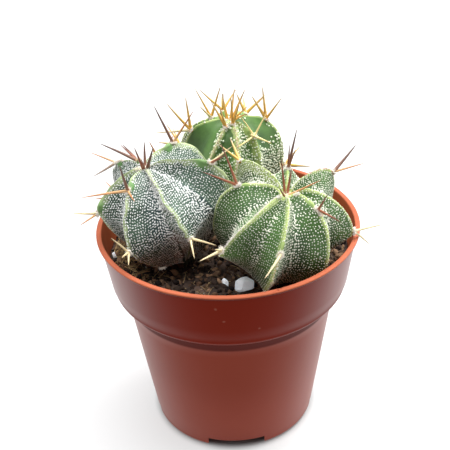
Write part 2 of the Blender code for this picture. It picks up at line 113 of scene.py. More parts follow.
# Plants
ROWS = 112  # from crown to soil line
NECK_ROWS = 8
STEPS = 15  # columns from a ridge to a valley
NECK_DEPTH = 9.0 * MM
NECK_TAPER = 2.0 * MM
VALLEY_SKIRT = 1.4
FLANK_BULGE = 0.015
WAVE = 1.1 * MM  # how far the left plant's ridges stray to their sides
RIDGE_ROUND = 0.42 * MM
VALLEY_ROUND = 1.0 * MM
SWELLING = 0.55 * MM  # height of the green swellings above the areoles
UNEVEN = ((0.16 * MM, 170), (0.05 * MM, 600))  # heights of the skin's small lumps, and how close they are
AREOLE_CLEARANCE = 1.5 * MM + GAP
SPINE_CLEARANCE = 0.8 * MM
SPINE_FOOT = 1.2 * MM  # length at a spine's root that may be near other pieces

# Spine colours: root, middle, tip
RED = ((0.46, 0.17, 0.08), (0.28, 0.085, 0.045), (0.12, 0.050, 0.035))
DARK = ((0.30, 0.14, 0.085), (0.17, 0.085, 0.060), (0.12, 0.080, 0.068))
PALE = ((0.82, 0.70, 0.42), (0.80, 0.66, 0.38), (0.64, 0.48, 0.28))
STRAW = ((0.90, 0.76, 0.36), (0.90, 0.73, 0.32), (0.80, 0.58, 0.26))
GOLD = ((0.80, 0.42, 0.06), (0.80, 0.50, 0.14), (0.50, 0.38, 0.26))
RUST = ((0.80, 0.52, 0.25), (0.62, 0.28, 0.11), (0.42, 0.18, 0.08))
HORN = ((0.50, 0.36, 0.26), (0.42, 0.31, 0.25), (0.50, 0.42, 0.38))


class Areole(NamedTuple):
    """A woolly cushion on a ridge, at a place from 0 at the crown to 1 at the soil line.

    A spine is its bearing from +X and its rise above level, in degrees, its length in millimetres and its colours.
    An areole with no spines of its own has the usual fan.
    """

    place: float
    spines: tuple = ()
    bald: bool = False  # worn off, with no wool or spines left


class Rib(NamedTuple):
    """A rib's ridge, seen in the plant's own upright frame: degrees and millimetres."""

    turn: float
    reach: float
    level: float
    shoulder: float
    skirt: float
    sweep: float
    valley_turn: float
    areoles: tuple
    bands: tuple = (1.0, 1.0)  # widths of the pale edge on its clockwise and anticlockwise sides
    valley: float = 0.66  # reach of the valley on its anticlockwise side, as a share of the ridges'


class Plant(NamedTuple):
    """A plant with eight ribs, listed anticlockwise from above."""

    name: str
    base: tuple
    lean: tuple
    height: float
    neck: float
    dip: float
    valley_shoulder: float
    ribs: tuple
    crown_spines: tuple
    seed: int
    fan: tuple  # colours of the spines that have none named
    slot: str
    swelling: tuple  # radius in mm and strength of the green swellings above its areoles

    def piece(self, kind):
        """The name of a piece of this plant, such as its wool."""
        return self.name.replace("cactus", kind)


RIGHT = Plant(
    name="cactus_right",
    base=(13.5, -14.0),
    lean=(7.8, -7.5),
    height=32.6,
    neck=6.5,
    dip=3.3,
    valley_shoulder=3.0,
    ribs=(
        Rib(173, 20.8, 14.3, 3.3, 1.75, -9, 9, (
            Areole(0.19, ((153, 71, 14, RED), (186, 28, 12, RED))), Areole(0.55),
        )),
        Rib(227, 26.3, 18.8, 2.25, 1.0, -31, 0, (
            Areole(0.45, ((229, 10, 10, PALE), (252, 36, 7, PALE))),
        ), (1.5, 1.7)),
        Rib(264, 22.3, 14.1, 2.8, 1.7, -19, -14, (Areole(0.37, ((239, -16, 10, PALE),)), Areole(0.74)), (1.7, 0.6)),
        Rib(322, 18.5, 12.5, 2.2, 1.4, -16, 6, (
            Areole(0.19, ((297, 57, 9, RED), (306, 2, 10, RED))), Areole(0.46, bald=True),
        )),
        Rib(367, 23.7, 14.4, 1.75, 1.05, -13, 0, (Areole(0.47, ((17, 3, 10, PALE), (15, -46, 9, PALE))),)),
        Rib(405, 25.7, 16.9, 3.2, 1.4, -7, 0, (Areole(0.33, ((33, 33, 12, DARK), (13, 9, 11, RUST))), Areole(0.66))),
        Rib(441, 23.1, 15.1, 2.5, 1.4, -12, 0, (
            Areole(0.13, ((29, 76, 13, DARK), (278, 80, 9, RED), (300, 66, 9, RED))), Areole(0.50),
        )),
        Rib(482, 26.0, 16.2, 3.0, 1.4, -12, -13, (
            Areole(0.33, ((109, 25, 10, GOLD), (160, 35, 9, GOLD))), Areole(0.62),
        ), (1.2, 4.5)),
    ),
    crown_spines=((108, 78, 11, RED), (239, 51, 6, RED), (350, 30, 11, RUST), (60, 66, 8, RED)),
    seed=11,
    fan=PALE,
    slot="flesh_green",
    swelling=(1.3, 0.45),
)
LEFT = Plant(
    name="cactus_left",
    base=(-17.1, -1.4),
    lean=(-13.0, -4.6),
    height=35.8,
    neck=6.3,
    dip=2.3,
    valley_shoulder=1.7,
    ribs=(
        Rib(49, 23.8, 18.5, 2.4, 1.45, -20, 0, (
            Areole(0.18, ((166, 66, 14, DARK), (10, 54, 13, RUST))), Areole(0.52),
        ), (2.2, 1.8)),
        Rib(80, 17.0, 17.5, 1.6, 1.4, 0, 0, (Areole(0.30), Areole(0.62))),
        Rib(112, 18.0, 17.8, 1.6, 1.4, 0, 0, (
            Areole(0.20, ((158, 21, 14, DARK), (127, 20, 9, DARK), (138, 24, 9, RED))), Areole(0.48),
        )),
        Rib(138, 20.3, 19.2, 2.4, 1.45, -5, 0, (
            Areole(0.22, ((154, 12, 10, RUST), (190, -30, 9, HORN))), Areole(0.56),
        )),
        Rib(199, 18.9, 24.8, 1.7, 1.4, -3, 0, (Areole(0.48, ((224, 24, 10, PALE), (240, 1, 9, RUST))),), (1.4, 2.0)),
        Rib(246, 22.4, 18.0, 2.0, 1.35, 6, 16, (
            Areole(0.17, ((223, 77, 10, DARK), (205, 8, 15, RUST), (289, 0, 8, RUST))),
            Areole(0.49, ((274, 4, 8, PALE), (214, 56, 9, PALE), (258, 22, 7, PALE))),
            Areole(0.86, ((80, -40, 5, PALE),)),
        ), (1.0, 1.0), 0.74),
        Rib(292, 23.8, 19.5, 1.6, 1.0, 21, 6, (
            Areole(0.58, ((322, 8, 10, PALE), (277, -12, 9, PALE))),
        ), (1.2, 1.1), 0.82),
        Rib(348, 25.4, 21.6, 3.2, 1.45, 5, 14, (
            Areole(0.27, ((312, 26, 9, RED), (20, 30, 8, PALE))), Areole(0.62),
        ), (2.6, 3.2)),
    ),
    crown_spines=((239, 69, 10, RED), (320, 67, 9, DARK), (266, 54, 7, RED), (90, 66, 8, DARK)),
    seed=23,
    fan=RUST,
    slot="flesh_grey",
    swelling=(2.0, 1.0),
)
BACK = Plant(
    name="cactus_back",
    base=(-0.2, 28.5),
    lean=(3.6, -7.4),
    height=36.1,
    neck=7.8,
    dip=1.0,
    valley_shoulder=2.3,
    ribs=(
        Rib(183, 15.5, 17.3, 3.2, 1.8, -33, 0, (
            Areole(0.27, ((182, 51, 13, GOLD), (120, 80, 12, GOLD), (200, 6, 13, PALE))), Areole(0.60),
        )),
        Rib(243, 18.2, 16.7, 2.4, 1.8, -38, -6, (
            Areole(0.07, ((172, 63, 10, GOLD), (235, 70, 10, GOLD))), Areole(0.50),
        ), (1.6, 2.0)),
        Rib(278, 17.7, 16.5, 2.2, 1.8, -30, 6, (
            Areole(0.05, ((265, 78, 11, GOLD), (300, 62, 10, GOLD))), Areole(0.55),
        ), (1.6, 3.0)),
        Rib(317, 16.0, 16.5, 2.4, 1.8, -32, 0, (
            Areole(0.20, (
                (223, -8, 8.5, STRAW), (168, 58, 8, STRAW), (323, -8, 7, STRAW),
                (29, 56, 10, STRAW), (250, 30, 6, STRAW),
            )),
            Areole(0.58),
        ), (3.0, 1.2)),
        Rib(370, 19.7, 17.1, 2.7, 1.8, -32, 0, (
            Areole(0.19, ((121, 82, 12, GOLD), (170, 62, 10, GOLD), (351, 56, 10, GOLD))), Areole(0.52),
        ), (0.9, 0.8)),
        Rib(414, 15.0, 18.5, 2.4, 1.1, -32, 0, (Areole(0.24), Areole(0.56))),
        Rib(459, 14.0, 19.5, 2.4, 1.0, -32, 0, (Areole(0.16), Areole(0.50))),
        Rib(512, 19.7, 16.3, 1.8, 1.8, -30, 0, (
            Areole(0.12, ((173, 65, 12, GOLD), (17, 72, 12, GOLD), (226, 47, 8, PALE))), Areole(0.46),
        )),
    ),
    crown_spines=(
        (10, 68, 12, GOLD), (334, 45, 9, GOLD), (149, 80, 10, GOLD), (60, 75, 11, GOLD), (320, 33, 8, GOLD),
    ),
    seed=37,
    fan=GOLD,
    slot="flesh_bright",
    swelling=(1.5, 0.5),
)
PLANTS = (RIGHT, LEFT, BACK)

# White perlite grains: middle and half size in mm, and rise above the soil
GRAINS = (
    ("perlite_large", (4.5, -20.6), (3.4, 2.5, 2.1), 1.5),
    ("perlite_small", (-1.6, -21.3), (1.05, 1.3, 1.6), 1.0),
    ("perlite_left", (-37.2, -3.5), (0.9, 1.1, 1.1), 0.5),
)
GRAIN_FLATS = 13  # flat places on a grain
GRAIN_REACH = 1.06  # how far its corners reach out, as a share of its half size


# ---- Settings ----


def number(name, description, default, **kind):
    """A size that a user may change."""
    return FloatProperty(name=name, description=description, default=default, min=0.0, **kind)


def length(name, description, millimetres):
    return number(name, description, millimetres * MM, unit="LENGTH", subtype="DISTANCE")


def share(name, description, default):
    return number(name, description, default, max=1.0, subtype="FACTOR")


def power(name, description, watts):
    return number(name, description, watts, unit="POWER")


def colour(name, description, default):
    """A colour that a user may change."""
    return FloatVectorProperty(
        name=name, description=description, default=default, size=3, min=0.0, max=1.0, subtype="COLOR"
    )


class PotSettings(bpy.types.PropertyGroup):
    """The plastic pot."""

    lip_round: length("Lip rounding", "Radius of the rounded edges of the rim lip", 0.35)
    plastic: colour("Plastic", "Colour of the moulded plastic", (0.215, 0.026, 0.011))
    pale_lip: colour("Pale lip", "Paler colour of the rim lip", (0.40, 0.108, 0.054))
    roughness: share("Roughness", "Roughness of the plastic", 0.40)
    haze: share("Haze", "Pale shine on the plastic seen edge on", 0.85)


class SoilSettings(bpy.types.PropertyGroup):
    """The potting mix and what lies on it."""

    crumb: length("Crumb size", "Half width of a usual crumb", 0.55)
    fibre: length("Fibre length", "Length of a usual peat fibre", 4.0)
    peat: colour("Peat", "Colour of the moist peat", (0.060, 0.039, 0.030))
    straw: colour("Fibre", "Colour of the dry fibres", (0.50, 0.35, 0.17))
    perlite: colour("Perlite", "Colour of the perlite grains", (0.90, 0.95, 1.00))
    # Painted light: the perlite grains glow a little, so that they stay bright in the plants' shade.
    clear: share("Perlite's inner light", "How bright the light is that has passed through the perlite", 0.21)


class FleshSettings(bpy.types.PropertyGroup):
    """The three plants' skin."""

    right_green: colour("Right plant", "Skin of the right plant", (0.052, 0.116, 0.028))
    left_green: colour("Left plant", "Skin of the left plant", (0.048, 0.086, 0.058))
    back_green: colour("Back plant", "Skin of the back plant", (0.078, 0.160, 0.042))
    edge_green: colour("Rib edge", "Pale green of the ribs' edges", (0.50, 0.60, 0.22))
    left_edge: colour("Left plant's rib edge", "Pale green of the left plant's edges", (0.42, 0.50, 0.26))


class FleckSettings(bpy.types.PropertyGroup):
    """The white flecks on the skin."""

    right_white: colour("Right plant's flecks", "Colour of the flecks on the right plant", (0.84, 0.85, 0.72))
    left_white: colour("Left plant's flecks", "Colour of the flecks on the left plant", (0.88, 0.89, 0.87))
    back_white: colour("Back plant's flecks", "Colour of the flecks on the back plant", (0.84, 0.89, 0.70))
    right_size: length("Right plant's fleck size", "Half width of a fleck on the right plant", 0.21)
    left_size: length("Left plant's fleck size", "Half width of a fleck on the left plant", 0.19)
    back_size: length("Back plant's fleck size", "Half width of a fleck on the back plant", 0.265)


class SpineSettings(bpy.types.PropertyGroup):
    """The spines and the wool at their roots."""

    radius: length("Spine radius", "Radius of a spine above its root", 0.45)
    hair: length("Wool length", "Length of the wool's hairs", 0.95)
    wool: colour("Wool", "Colour of the wool", (0.94, 0.86, 0.77))
    # Painted light: the wool glows a little, which lightens its hairs where they shade each other.
    glow: share("Glow", "Daylight that the fine wool lets through", 0.13)


class StageSettings(bpy.types.PropertyGroup):
    """Floor, light and camera."""

    floor: colour("Floor", "Colour of the floor", (0.34, 0.34, 0.34))
    glow: share("Floor glow", "Strength of the light from under the floor's white sheet", 0.565)
    key: power("Key light", "Power of the key light", 3.3)
    top: power("Top light", "Power of the wide top light", 21.0)
    left: power("Left light", "Power of the light on the left", 0.75)
    right: power("Right light", "Power of the light on the right", 1.05)
    front: power("Front light", "Power of the high front light", 1.0)
    fill: share("Fill", "Strength of the light from all round", 0.15)


class CactusSettings(bpy.types.PropertyGroup):
    """All settings of the potted cactus."""

    pot: PointerProperty(type=PotSettings)
    soil: PointerProperty(type=SoilSettings)
    flesh: PointerProperty(type=FleshSettings)
    flecks: PointerProperty(type=FleckSettings)
    spines: PointerProperty(type=SpineSettings)
    stage: PointerProperty(type=StageSettings)


# ---- Materials ----


def maths(operation, swapped=False):
    """An operator that joins two values in a Math node."""

    def joined(self, other):
        pair = (other, self) if swapped else (self, other)
        return self.graph.node("ShaderNodeMath", {"operation": operation}, dict(enumerate(pair)))

    return joined


class Value:
    """A shader socket that Python's operators join into Math nodes."""

    __add__ = __radd__ = maths("ADD")
    __sub__ = maths("SUBTRACT")
    __rsub__ = maths("SUBTRACT", swapped=True)
    __mul__ = __rmul__ = maths("MULTIPLY")
    __pow__ = maths("POWER")
    high = maths("MAXIMUM")
    low = maths("MINIMUM")

    def __init__(self, graph, socket):
        self.graph, self.socket = graph, socket


class Graph:
    """A node tree's shader and the nodes that feed it."""

    def __init__(self, tree, shader):
        self.tree, self.shader = tree, tree.nodes[shader]

    def node(self, kind, settings=(), sockets=(), output=0):
        """A node of a type, with its settings made first and its sockets then filled or linked."""
        made = self.tree.nodes.new(kind)
        for name, value in dict(settings).items():
            setattr(made, name, value)
        for key, value in dict(sockets).items():
            self.fill(made.inputs[key], value)
        return Value(self, made.outputs[output])

    def fill(self, socket, value):
        if isinstance(value, Value):
            self.tree.links.new(value.socket, socket)
        elif socket.type == "RGBA":
            socket.default_value = (*value, 1.0)
        else:
            socket.default_value = value

    def set(self, name, value):
        self.fill(self.shader.inputs[name], value)

    def place(self):
        """Object coordinates."""
        return self.node("ShaderNodeTexCoord", output="Object")

    def attribute(self, name, output="Fac"):
        return self.node("ShaderNodeAttribute", {"attribute_name": name}, output=output)

    def noise(self, place, per_metre, detail=3.0, rough=0.5):
        sockets = {"Vector": place, "Scale": per_metre, "Detail": detail, "Roughness": rough}
        return self.node("ShaderNodeTexNoise", sockets=sockets, output="Fac")

    def cells(self, place, per_metre):
        """Distance from the nearest of scattered points."""
        return self.node("ShaderNodeTexVoronoi", sockets={"Vector": place, "Scale": per_metre}, output="Distance")

    def step(self, value, start, end):
        """0 up to start, 1 from end, and smooth between."""
        settings = {"interpolation_type": "SMOOTHSTEP"}
        return self.node("ShaderNodeMapRange", settings, {0: value, 1: start, 2: end, 3: 0.0, 4: 1.0})

    def distance(self, place, point):
        """How far a place is from a point."""
        return self.node("ShaderNodeVectorMath", {"operation": "DISTANCE"}, {0: place, 1: point}, "Value")

    def mix(self, shade, *layers):
        """A colour with others laid over it in turn, each with its factor."""
        for layer, factor in layers:
            shade = self.node("ShaderNodeMix", {"data_type": "RGBA"}, {0: factor, 6: shade, 7: layer}, 2)
        return shade

    def bump(self, height, strength, distance):
        sockets = {"Height": height, "Strength": strength, "Distance": distance}
        self.set("Normal", self.node("ShaderNodeBump", sockets=sockets))


class Finish(Graph):
    """A procedural material."""

    def __init__(self, name, roughness, specular):
        self.material = bpy.data.materials.new(name)
        self.material.use_nodes = True
        super().__init__(self.material.node_tree, "Principled BSDF")
        self.set("Roughness", roughness)
        self.set("Specular IOR Level", specular)


BLACK = (0.0, 0.0, 0.0)
WHITE = (1.0, 1.0, 1.0)


def scaled(shade, factor):
    return tuple(min(1.0, channel * factor) for channel in shade)


# ---- Meshes ----


def mesh_of(bm, name="shape"):
    mesh = bpy.data.meshes.new(name)
    bm.to_mesh(mesh)
    bm.free()
    return mesh


def placed(name, data, holder=None):
    """A new object that holds a mesh, light or camera."""
    obj = bpy.data.objects.new(name, data)
    (holder or bpy.context.scene.collection).objects.link(obj)
    return obj


def dress(name, mesh, finish, slot, replaced=None, smooth=True):
    """A piece of the part's one body, which may stand for a node of the solids."""
    mesh.name = name
    if smooth:
        mesh.shade_smooth()
    mesh.materials.append(finish.material)
    obj = placed(name, mesh)
    if replaced:
        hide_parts(replaced)
    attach(obj, "root")
    return obj


class Copies:
    """Many copies of one small shape in one mesh, each moved, bent and tinted on its own."""

    def __init__(self, bm):
        bmesh.ops.triangulate(bm, faces=bm.faces)
        bmesh.ops.recalc_face_normals(bm, faces=bm.faces)
        bm.verts.index_update()
        self.points = np.array([vert.co[:] for vert in bm.verts])
        self.faces = np.array([[vert.index for vert in face.verts] for face in bm.faces])
        bm.free()
        self.places, self.tints = [], []

    def add(self, turn, middle, bend=(0, 0, 0), tints=((1, 1, 1),) * 2):
        """A copy turned and sized by a 3x3 matrix, moved to its middle and bent along its own height."""
        turn = np.array(turn)
        height = self.points[:, 2:3]
        self.places.append(self.points @ turn.T + np.array(middle) + height**2 * np.array(bend))
        stops = np.linspace(0, 1, len(tints))
        shade = [np.interp(height[:, 0], stops, [tint[i] for tint in tints]) for i in range(3)]
        self.tints.append(np.stack(shade + [np.ones(len(height))], axis=1))

    def mesh(self):
        count, size = len(self.places), len(self.points)
        faces = (self.faces[None] + size * np.arange(count)[:, None, None]).reshape(-1)
        mesh = bpy.data.meshes.new("copies")
        mesh.vertices.add(count * size)
        mesh.vertices.foreach_set("co", np.concatenate(self.places).astype(np.float32).ravel())
        mesh.loops.add(len(faces))
        mesh.loops.foreach_set("vertex_index", faces.astype(np.int32))
        mesh.polygons.add(len(faces) // 3)
        mesh.polygons.foreach_set("loop_start", np.arange(0, len(faces), 3, dtype=np.int32))
        mesh.update(calc_edges=True)
        tint = mesh.attributes.new("tint", "FLOAT_COLOR", "POINT")
        tint.data.foreach_set("color", np.concatenate(self.tints).astype(np.float32).ravel())
        return mesh


def strand(sides, rings, sharpness, root=1.0):
    """A tapering closed strand one unit high, from its round root at the origin to its point."""
    bm = bmesh.new()
    bmesh.ops.create_circle(bm, cap_ends=True, segments=sides, radius=root)
    edges = list(bm.edges)
    for ring in range(1, rings + 1):
        made = bmesh.ops.extrude_edge_only(bm, edges=edges)["geom"]
        verts = [item for item in made if isinstance(item, bmesh.types.BMVert)]
        edges = [item for item in made if isinstance(item, bmesh.types.BMEdge)]
        height = ring / rings
        radius = max(0.04, (1 - height) ** sharpness)
        for vert in verts:
            flat = vert.co.xy.normalized() * radius
            vert.co = Vector((flat.x, flat.y, height))
    bmesh.ops.pointmerge(bm, verts=verts, merge_co=Vector((0, 0, 1.0)))
    return bm


def ball(subdivisions):
    bm = bmesh.new()
    bmesh.ops.create_icosphere(bm, subdivisions=subdivisions, radius=1.0)
    return bm


def basis(up, along=None):
    """Columns across, along and up, all of length 1; without an along, any one does."""
    if along is None:
        along = up.orthogonal().normalized()
    across = along.cross(up).normalized()
    return Matrix((across, up.cross(across).normalized(), up)).transposed()


def random_vector(draw, spread=1.0):
    return Vector([draw.gauss(0, spread) for _ in range(3)])


def polar(radius, turn):
    return Vector((radius * math.cos(turn), radius * math.sin(turn)))


def arc(centre, radius, start, end, steps):
    """Points of a round in a profile, with angles in degrees from +X."""
    angles = [math.radians(start + (end - start) * i / steps) for i in range(steps + 1)]
    return [(centre[0] + radius * math.cos(a), centre[1] + radius * math.sin(a)) for a in angles]


def turned(profile, sides):
    """A closed solid turned about Z from a profile whose two ends lie on the axis."""
    bm = bmesh.new()
    verts = [bm.verts.new((radius, 0.0, z)) for radius, z in profile]
    edges = [bm.edges.new(pair) for pair in zip(verts, verts[1:])]
    bmesh.ops.spin(
        bm, geom=verts + edges, cent=(0, 0, 0), axis=(0, 0, 1), angle=math.tau, steps=sides, use_merge=True
    )
    bmesh.ops.remove_doubles(bm, verts=bm.verts, dist=1e-6)
    bmesh.ops.recalc_face_normals(bm, faces=bm.faces)
    return bm


def tree_of(bm):
    """A search tree of a mesh's faces, sorted because their own order differs from run to run."""
    faces = []
    for face in bm.faces:
        points = [vert.co[:] for vert in face.verts]
        starts = (0, 2) if len(points) == 4 else (0, 1, 2)  # a quad stays cut between the same two corners
        faces.append(min(points[i:] + points[:i] for i in starts))
    ordered = bmesh.new()
    for points in sorted(faces):
        ordered.faces.new([ordered.verts.new(point) for point in points])
    ordered.normal_update()
    return BVHTree.FromBMesh(ordered)


def node_tree(name):
    bm = bmesh.new()
    bm.from_mesh(frame["nodes"][name].data)
    return tree_of(bm)


def is_inside(wall, place):
    """Whether a place is inside a closed mesh, by how often a line straight up from it meets the surface."""
    hits = 0
    hit = wall.ray_cast(place, UP)[0]
    while hit is not None:
        hits += 1
        hit = wall.ray_cast(hit + UP * 1e-6, UP)[0]
    return hits % 2 == 1


# ---- Pot ----


def collar_line(z):
    """The collar's outer radius at a height."""
    t = (z - COLLAR_LOW_Z) / (POT_BOX[1].z - LIP_HEIGHT - COLLAR_LOW_Z)
    return COLLAR_LOW_RADIUS + t * (COLLAR_TOP_RADIUS - COLLAR_LOW_RADIUS)


def wall_line(z):
    """The lower wall's outer radius at a height."""
    t = (z - FOOT_ROUND) / (COLLAR_LOW_Z - FOOT_ROUND)
    return FOOT_RADIUS + t * (WALL_TOP_RADIUS - FOOT_RADIUS)


def pot_inside(gap=0.0):
    """The inner wall's profile from the floor up to under the lip, drawn in by a gap."""
    floor = FOOT_RECESS + POT_WALL
    ledge = COLLAR_LOW_Z + POT_WALL
    inset = POT_WALL + gap
    top = POT_BOX[1].z - LIP_HEIGHT
    return [
        (FOOT_RADIUS - inset - 1.2 * MM, floor + gap),
        (wall_line(floor + gap + 1.5 * MM) - inset, floor + gap + 1.5 * MM),
        (wall_line(ledge) - inset, ledge + gap),
        (collar_line(ledge) - inset - 1.0 * MM, ledge + gap),
        (collar_line(ledge + gap + 1.4 * MM) - inset, ledge + gap + 1.4 * MM),
        (collar_line(top) - inset, top),
    ]


def pot_mesh(lip_round):
    """The pot turned from its profile."""
    height = POT_BOX[1].z
    lip_radius = POT_BOX[1].x
    ring_inner = FOOT_RADIUS - FOOT_RING_WIDTH
    profile = [
        (0.0, 0.0),
        (BOSS_RADIUS, 0.0),
        (BOSS_RADIUS + 0.5 * MM, FOOT_RECESS),
        (ring_inner - 0.5 * MM, FOOT_RECESS),
        (ring_inner, 0.0),
    ]
    profile += arc((FOOT_RADIUS - FOOT_ROUND, FOOT_ROUND), FOOT_ROUND, -90, 0, 10)
    profile += [(wall_line(z), z) for z in np.linspace(4 * MM, COLLAR_LOW_Z - 1 * MM, 8)]
    profile += arc((WALL_TOP_RADIUS + 0.8 * MM, COLLAR_LOW_Z - 0.7 * MM), 0.7 * MM, 180, 90, 4)
    profile += arc((COLLAR_LOW_RADIUS - COLLAR_ROUND, COLLAR_LOW_Z + COLLAR_ROUND), COLLAR_ROUND, -90, 4, 10)
    profile += [(collar_line(z), z) for z in np.linspace(COLLAR_LOW_Z + 3.5 * MM, height - LIP_HEIGHT, 6)]
    middle = lip_radius - lip_round
    profile += arc((middle, height - LIP_HEIGHT + 0.1 * MM + lip_round), lip_round, -90, 0, 4)
    profile += arc((middle, height - lip_round), lip_round, 0, 90, 4)
    profile += arc((lip_radius - LIP_WIDTH + lip_round, height - lip_round), lip_round, 90, 180, 4)
    profile += reversed(pot_inside())
    profile += [(0.0, FOOT_RECESS + POT_WALL)]
    return turned(profile, 160)


def cut(obj, cutters):
    """One Boolean cut of all the cutters, applied."""
    group = bpy.data.collections.new("cutters")
    bpy.context.scene.collection.children.link(group)
    for bm in cutters:
        bmesh.ops.recalc_face_normals(bm, faces=bm.faces)
        placed("cutter", mesh_of(bm), group)
    modifier = obj.modifiers.new("cut", "BOOLEAN")
    modifier.operand_type = "COLLECTION"
    modifier.collection = group
    modifier.operation = "DIFFERENCE"
    modifier.solver = "EXACT"
    graph = bpy.context.evaluated_depsgraph_get()
    mesh = bpy.data.meshes.new_from_object(obj.evaluated_get(graph))
    obj.modifiers.clear()
    obj.data = mesh
    for cutter in list(group.objects):
        bpy.data.objects.remove(cutter, do_unlink=True)
    bpy.data.collections.remove(group)


BURR = (13.7 * MM, -40.0 * MM, 73.2 * MM)  # rough place on the lip
SCUFFS = ((-4.6, 68.5), (-2.3, 63.6), (8.1, 59.6))  # on the collar's front: X and Z, mm
SUNLIT_WALL = (0.23, 0.056, 0.035)
# Painted light: the plastic turns paler towards the foot, as if light off the floor falls on it.
FLOOR_LIT_FOOT = (0.30, 0.066, 0.043)
LIT_INSIDE = (0.33, 0.085, 0.034)
SCUFFED = (0.62, 0.36, 0.28)


def pot_finish(settings):
    finish = Finish("moulded_plastic", settings.roughness, 0.03)
    place = finish.place()
    across, deep, height = (finish.node("ShaderNodeSeparateXYZ", (), {0: place}, axis) for axis in "XYZ")
    low, high = COLLAR_LOW_Z / MM, POT_BOX[1].z / MM

    def above(start, end):
        """0 below one height and 1 above another, in millimetres."""
        return finish.step(height, start * MM, end * MM)

    spread = (collar_line(POT_BOX[1].z) - collar_line(COLLAR_LOW_Z)) / (POT_BOX[1].z - COLLAR_LOW_Z)
    outer = height * spread + (collar_line(COLLAR_LOW_Z) - COLLAR_LOW_Z * spread)
    depth = outer - (across * across + deep * deep) ** 0.5
    inside = finish.step(depth, 0.4 * MM, 0.9 * MM) * above(SOIL_Z / MM - 6, SOIL_Z / MM)
    cloud = finish.noise(place, 55.0, 4.0)
    grain = finish.noise(place, 900.0, 2.0)
    collar = above(low - 0.2, low + 0.6)
    # Painted shade: a darker band on the wall just under the collar's edge, where the collar shades it.
    collar_shadow = above(low - 5.3, low - 4.3) * (1.0 - collar)
    scuffs = 0.0
    for x, z in SCUFFS:
        y = -math.sqrt(collar_line(z * MM) ** 2 - (x * MM) ** 2)
        near = finish.distance(place, (x * MM, y, z * MM))
        scuffs = (1.0 - finish.step(near + (grain - 0.5) * 0.0010, 0.0001, 0.0006)) + scuffs
    burr = (1.0 - finish.step(finish.distance(place, BURR), 0.8 * MM, 2.8 * MM)) * finish.step(grain, 0.50, 0.56)
    red, green, blue = settings.plastic
    # Painted light: the lower wall is a paler copy of the plastic, as if the floor lights it more.
    wall = finish.mix(settings.plastic, (SUNLIT_WALL, 0.45))
    finish.set("Base Color", finish.mix(
        FLOOR_LIT_FOOT,
        (wall, above(2, 36)),
        # Painted shade: the collar is a darker, deeper red copy of the plastic.
        ((0.69 * red, 0.36 * green, 0.15 * blue), collar),
        # Painted shade in the band under the collar, and on the lip's side just under its top.
        ((0.33 * red, 0.32 * green, 0.50 * blue), collar_shadow.high(above(high - 2.0, high - 1.4) * 0.7)),
        (LIT_INSIDE, inside),
        (scaled(settings.plastic, 0.7), cloud * 0.3),
        # The lip's top in a paler colour than the plastic.
        (settings.pale_lip, above(high - 0.55, high - 0.30)),
        (scaled(settings.plastic, 0.8), burr * 0.8),
        (SCUFFED, scuffs.low(1.0) * 0.13),
    ))
    facing = finish.node("ShaderNodeLayerWeight", (), {"Blend": 0.5}, "Facing")
    edge = above(low - 0.8, low) * (1.0 - above(low + 1.5, low + 5.5))
    dull = (1.0 - collar_shadow * 0.9) * (1.0 - inside) * (1.0 - edge * 0.6)
    shine = finish.step(facing, 0.28, 0.70) * settings.haze
    finish.set("Coat Weight", shine * (0.72 + collar * 0.28) * dull)
    finish.set("Coat Roughness", 0.38)
    finish.set("Roughness", settings.roughness - 0.06 + cloud * 0.1)
    finish.bump(grain * 0.6 + cloud * 2.0, 0.25, 0.00006)
    return finish


class CACTUS_OT_pot(bpy.types.Operator):
    """Makes the plastic pot with its rim lip, collar, foot, drain holes and notches"""

    bl_idname = "cactus.pot"
    bl_label = "Pot"

    def execute(self, context):
        settings = context.scene.potted_cactus.pot
        pot = dress("nursery_pot", mesh_of(pot_mesh(settings.lip_round)), pot_finish(settings), "pot", "pot")
        cutters = [bmesh.new() for _ in range(DRAINS + NOTCHES)]
        for i, bm in enumerate(cutters[:DRAINS]):
            middle = polar(DRAIN_CIRCLE, math.tau * (i + 0.5) / DRAINS).to_3d() + UP * (FOOT_RECESS + POT_WALL / 2)
            bmesh.ops.create_cone(
                bm, cap_ends=True, segments=32, radius1=DRAIN_RADIUS, radius2=DRAIN_RADIUS, depth=4 * POT_WALL,
                matrix=Matrix.Translation(middle),
            )
        for i, bm in enumerate(cutters[DRAINS:]):
            turn = math.radians(-90) + math.tau * i / NOTCHES
            place = Matrix.Rotation(turn, 4, "Z") @ Matrix.Translation((FOOT_RADIUS, 0, 0))
            size = Matrix.Diagonal((2.4 * FOOT_RING_WIDTH, NOTCH_WIDTH, 2 * NOTCH_HEIGHT, 1.0))
            bmesh.ops.create_cube(bm, size=1.0, matrix=place @ size)
        cut(pot, cutters)
        pot.data.set_sharp_from_angle(angle=math.radians(38))
        return {"FINISHED"}


# ---- Soil ----


def soil_height(x, y):
    """The soil's height over a place in plan: lumps, and a dip round each plant."""
    lumps = noise.noise(Vector((x, y, 0.0)) * 95) + 0.4 * noise.noise(Vector((x, y, 0.03)) * 240)
    near = min(math.hypot(x - p.base[0] * MM, y - p.base[1] * MM) for p in PLANTS)
    dip = min(1.0, max(0.0, (19 * MM - near) / (6 * MM)))
    dip = dip * dip * (3 - 2 * dip)
    return SOIL_Z + SOIL_LUMP * lumps * (1 - dip) - SOIL_DISH * dip


def soil_skin():
    """A plain sheet over the soil, for keeping spines off it."""
    bm = bmesh.new()
    bmesh.ops.create_grid(bm, x_segments=40, y_segments=40, size=38 * MM)
    for vert in bm.verts:
        vert.co.z = soil_height(vert.co.x, vert.co.y)
    return bm


